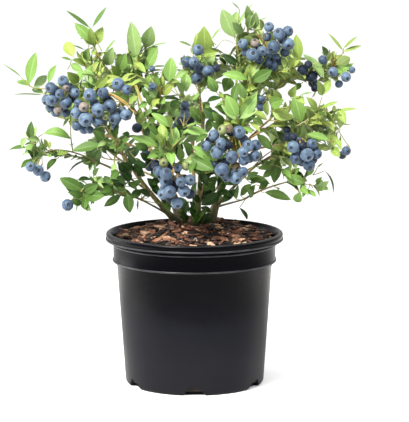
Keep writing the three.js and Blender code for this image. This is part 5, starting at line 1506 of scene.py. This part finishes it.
def hasRoom(crown, probes, gap):
    if probes[:, 2].min() < mulch["crest"] + foliage["aboveMulch"] or not staysInView(crown, probes):
        return False
    if not clearOfLimbs(probes, crown.limbs, foliage["limbRoom"]):
        return False
    gaps = np.linalg.norm(probes[:, None] - crown.berryPoints[None, :, :3], axis=2)
    if (gaps < crown.berryPoints[None, :, 3] + foliage["berryRoom"]).any():
        return False
    near = crown.takenPoints[(np.abs(crown.takenPoints - probes[1]) < foliage["nearby"]).all(axis=1)]
    return len(near) == 0 or np.linalg.norm(probes[:, None] - near[None], axis=2).min() > gap


# Young, paler leaves at the ends of the crown are their own colour. The deeper paint low down and inside, more so
# at the left, is painted shade, and the paler paint at the right is painted light.
def sprayTintWithPaintedShade(place, random):
    shade = (place[2] - spray["low"]) / spray["rise"] \
        + spray["reachShare"] * (math.hypot(place[0], place[1]) / spray["reach"] - 0.6) \
        + spray["chance"] * (random() - 0.5) + spray["side"] * max(-1, min(1, place[0] / spray["sideReach"]))
    if shade > 0.85:
        return 0
    if shade > 0.62:
        return 1
    if shade > 0.3:
        return 2 if random() < 0.8 else 5
    return 3 if shade > 0.08 else 4


def growLeaves(crown, longest, shortest, spacing, gap, seedShift):
    for twig in crown.twigs:
        curve = twig.get("curve")
        if curve is None:
            curve = (twig["track"][0], twig["track"][len(twig["track"]) // 2], twig["track"][-1])
        random = makeRandom(twig["seed"] + seedShift + 37 * twig["rank"])
        length = curveLength(curve)
        first = 0.2 * length if twig["rank"] in (0, 3) else 4
        count = max(2, int((length - first) / spacing) + 1)
        tint = sprayTintWithPaintedShade(curve[2], random)
        size = longest if twig["rank"] < 2 else 0.6 * longest + 0.4 * shortest
        for i in range(count):
            share = min(0.97, (first + (length - first) * i / (count - 1)) / length)
            last = i == count - 1
            root, heading = curveAt(curve, share), curveHeading(curve, share)
            reach = size * (0.78 + 0.3 * random()) * (0.75 if last else 1)
            lean = math.radians(foliage["lean"] * (0.35 if last else 1))
            start = math.radians(i * foliage["leafTurn"] + 72 * random() + twig["seed"] * 33)
            roll = math.radians(60 * (random() - 0.5))
            for attempt in range(foliage["tries"]):
                turn = start + attempt * foliage["turnStep"]
                side, over = crossAxes(heading, awayFrom(heading))
                aside = side * math.cos(turn) + over * math.sin(turn)
                along = unit(aside * math.sin(lean) + heading * math.cos(lean))
                outward = unit(np.array([root[0], root[1], 1e-3]) * [1, 1, 0] + 1e-6)
                face = 0.5 * heading + 0.55 * up + 0.8 * outward
                face = unit(face - (face @ along) * along)
                across = np.cross(face, along)
                face = face * math.cos(roll) + across * math.sin(roll)
                across = np.cross(face, along)
                width = foliage["narrow"] * reach * (0.9 + 0.2 * random())
                probes = leafProbes(root, along, across, reach, width)
                if hasRoom(crown, probes, gap):
                    own = tint if random() < 0.75 else sprayTintWithPaintedShade(root, random)
                    addLeaf(crown, root, along, across, face, reach, width, own, twig["mass"], random)
                    twig["used"] = max(twig.get("used", 0), share)
                    crown.takenPoints = np.concatenate([crown.takenPoints, probes])
                    break
                reach *= foliage["shrink"]


# Side shoots that would cross an opening are left out, with the twigs on them.
def clearOpenings(crown):
    def crosses(twig):
        if twig["rank"] not in (1, 2) or masses[twig["mass"]][6] == "back":
            return False
        points = inFrame(curveAt(twig["curve"], np.linspace(0.3, 1, 6)))
        return sum(inTheOpen(points[i:i + 1]) for i in range(6)) >= 2
    gone = {id(twig) for twig in crown.twigs if crosses(twig)}
    crown.twigs = [twig for twig in crown.twigs
                   if id(twig) not in gone and id(twig.get("parent")) not in gone]
    crown.sampleTwigs()


# A twig that carries nothing is cut off, and the rest end where their last leaf stands.
def pruneTwigs(crown):
    for twig in sorted(crown.twigs, key=lambda twig: -twig["rank"]):
        if twig.get("used", 0) > 0 and "parent" in twig:
            twig["parent"]["used"] = max(twig["parent"].get("used", 0), twig["at"])
    crown.twigs = [twig for twig in crown.twigs if twig["rank"] in (0, 3) or twig.get("used", 0) > 0]
    for twig in crown.twigs:
        if "curve" in twig:
            end = min(1, max(twig.get("used", 0), 0.55 if twig["rank"] == 0 else 0.1) + 0.02)
            twig["track"] = curveAt(twig["curve"], np.linspace(0, end, 9))


# ---- foliage: its meshes ----

def addTube(growing, track, radius, sides, slot, thin=0.5):
    track = np.asarray(track, float)
    count = len(track)
    headings = np.gradient(track, axis=0)
    headings /= np.linalg.norm(headings, axis=1)[:, None] + 1e-9
    reference = awayFrom(unit(track[-1] - track[0]))
    points = []
    for i in range(count):
        side, over = crossAxes(headings[i], reference)
        reach = radius * (1 - (1 - thin) * i / (count - 1))
        for k in range(sides):
            turn = 2 * math.pi * k / sides
            points.append(track[i] + reach * (math.cos(turn) * side + math.sin(turn) * over))
    polygons = [list(range(sides - 1, -1, -1)), [(count - 1) * sides + k for k in range(sides)]]
    for i in range(count - 1):
        for k in range(sides):
            a, b = i * sides + k, i * sides + (k + 1) % sides
            polygons.append([a, b, b + sides, a + sides])
    side, over = crossAxes(headings[0], reference)
    if np.cross(side, over) @ headings[0] < 0:
        polygons = [polygon[::-1] for polygon in polygons]
    growing.add(np.array(points), polygons, slot)


# A berry: a ball whose top is drawn up into a five-lobed crown round a sunken cup.
def berryShape():
    deselectAll()
    bpy.ops.mesh.primitive_uv_sphere_add(segments=10, ring_count=8, radius=1)
    ball = bpy.context.object
    bpy.ops.object.mode_set(mode="EDIT")
    bpy.ops.mesh.select_mode(type="FACE")
    selectWhere(ball, "faces", lambda face: face.calc_center_median().z > 0.93)
    bpy.ops.mesh.inset(thickness=0.07)
    bpy.ops.mesh.extrude_region_move(TRANSFORM_OT_translate={"value": (0, 0, 0.1)})
    bpy.ops.mesh.inset(thickness=0.09)
    bpy.ops.transform.translate(value=(0, 0, -0.24))
    bpy.ops.object.mode_set(mode="OBJECT")
    for vertex in ball.data.vertices:
        reach = math.hypot(vertex.co.x, vertex.co.y)
        if vertex.co.z > 0.97 and reach > 0.2:
            lobe = math.cos(5 * math.atan2(vertex.co.y, vertex.co.x))
            vertex.co.x *= 1 + 0.34 * lobe
            vertex.co.y *= 1 + 0.34 * lobe
            vertex.co.z -= 0.1 * (1 - lobe)
        vertex.co.z *= 0.9
    for face in ball.data.polygons:
        middle = face.center
        face.material_index = 1 if middle.z > 0.5 and math.hypot(middle.x, middle.y) < 0.3 else 0
    return takeShape(ball)


def dressCrown(crown, paints):
    leafPolygons, leafSlots, leafUvs = leafFaces()
    ball, ballPolygons, ballSlots = berryShape()
    for region in ("left", "centre", "right", "back"):
        nodes = ["foliage_" + mass[0] for mass in masses if mass[6] == region]
        leaves, twigs, berries = Growing(), Growing(), Growing()
        for leaf in crown.leaves:
            if leaf["region"] == region:
                under = 6 if leaf["tint"] in (0, 1, 5) else 7
                leaves.add(leafPoints(leaf), leafPolygons,
                           [under if slot else leaf["tint"] for slot in leafSlots], leafUvs)
        for twig in crown.twigs:
            if masses[twig["mass"]][6] == region:
                woody = twig["radius"] >= 1 and twig["track"][:, 2].mean() < 300
                addTube(twigs, twig["track"], twig["radius"], 6 if twig["rank"] == 0 else 5, 0 if woody else 1)
        for stalk in crown.stalks:
            if stalk["region"] == region:
                addTube(twigs, stalk["track"], stalk["radius"], 5, stalk["tint"], 0.8)
        for berry in crown.berries:
            if berry["region"] == region:
                turned = Vector(berry["axis"]).to_track_quat("Z", "Y").to_matrix() \
                    @ Matrix.Rotation(berry["turn"], 3, "Z")
                points = ball * berry["radius"] @ np.array(turned).T + berry["centre"]
                berries.add(points, ballPolygons, [6 if slot else berry["skin"] for slot in ballSlots])
        keep(leaves.piece("leaves_" + region, paints["leaves"], 50), "foliage", *nodes)
        keep(twigs.piece("twigs_" + region, paints["twigs"], 60), "foliage", *nodes)
        keep(berries.piece("berries_" + region, paints["berries"], 45), "fruit", *nodes)
        print("crown", region, len(leaves.polygons), len(twigs.polygons), len(berries.polygons))


def makePaints():
    return {
        # Leaf paints run from young to shaded: bright is partly painted light, deep green partly and shaded wholly
        # painted shade.
        "leaves": [
            leafBlade("young blueberry leaf", "74833E", "969F64"),
            leafBlade("bright blueberry leaf", "6A7F3A", "909F62"),
            leafBlade("full-grown blueberry leaf", "5A7938", "849962"),
            leafBlade("deep green blueberry leaf", "39541F", "617B43"),
            leafBlade("shaded blueberry leaf", "1E3610", "3C5A2E"),
            leafBlade("glaucous blueberry leaf", "6A834D", "8C9F6F"),
            leafBlade("leaf underside, pale", "738651", "8A986B", 0.6),
            leafBlade("leaf underside, green", "536D3A", "6E8553", 0.6),
        ],
        "twigs": [
            twigBark("year-old twig bark", "5B5C2D", "6D5230"),
            twigBark("green twig bark", "677434", "796B35"),
            twigBark("berry stalk skin", "846A32", "727233"),
            twigBark("dry berry stalk", "8E7238", "9C8350"),
        ],
        "berries": [
            bloomedSkin("ripe berry, heavy bloom", "4D6278", "25364A", 0.5),
            bloomedSkin("ripe berry, rubbed", "18263A", "0D1725", 0.42, 0.04, 0.2),
            bloomedSkin("ripe berry, light bloom", "3B5068", "192A3D", 0.48),
            bloomedSkin("unripe berry", "6B7448", "586238", 0.5),
            bloomedSkin("ripening berry", "6C645C", "504846", 0.5),
            bloomedSkin("dried berry", "554A2E", "352A1B", 0.5),
            dryCalyx(),
        ],
    }


# ---- build ----

makeCamera()
makeStudio()
print("studio ready")
makePot(blackPolypropylene(), crestHighlightPolypropylene())
print("pot made")
peat = moistPeat()
rootBall = frame["nodes"]["root_ball"]
rootBall.data.materials.clear()
rootBall.data.materials.append(peat)
# The fines are painted near black, partly as painted shade between the chips.
makeMulchBed(shreddedBark("composted bark fines", "040201", "0E0603", "1F120B"))
scatterChips([
    shreddedBark("dark bark chip", "060302", "150A06", "2C1A12"),
    shreddedBark("red-brown bark chip", "200C07", "492718", "74452E"),
    shreddedBark("brown bark chip", "2D190F", "5B3826", "855C43"),
    shreddedBark("tan bark chip", "4E3121", "7E5841", "A27C61"),
    shreddedBark("pale sapwood chip", "7A5A42", "A5836A", "C8AE97"),
    shreddedBark("dry straw stick", "876C4A", "A48D6B", "B3A285"),
    shreddedBark("perlite", "A8A8A4", "C0C0BC", "D4D4D0"),
])
print("mulch laid")
limbs = layOutLimbs()
barkPaint = caneBark()
for limb in limbs.values():
    makeLimb(limb, barkPaint)
print("limbs made", len(limbs))
crown = Crown(limbs, growTwigs(limbs))
addFrontTwigs(crown)
addFruit(crown)
addFrontLeaves(crown)
print("front placed", len(crown.leaves), "leaves", len(crown.berries), "berries", len(crown.twigs), "twigs")
clearOpenings(crown)
for longest, shortest, spacing, gap, seedShift in foliage["passes"]:
    growLeaves(crown, longest, shortest, spacing, gap, seedShift)
pruneTwigs(crown)
print("leaves grown", len(crown.leaves), "on", len(crown.twigs), "twigs")
dressCrown(crown, makePaints())
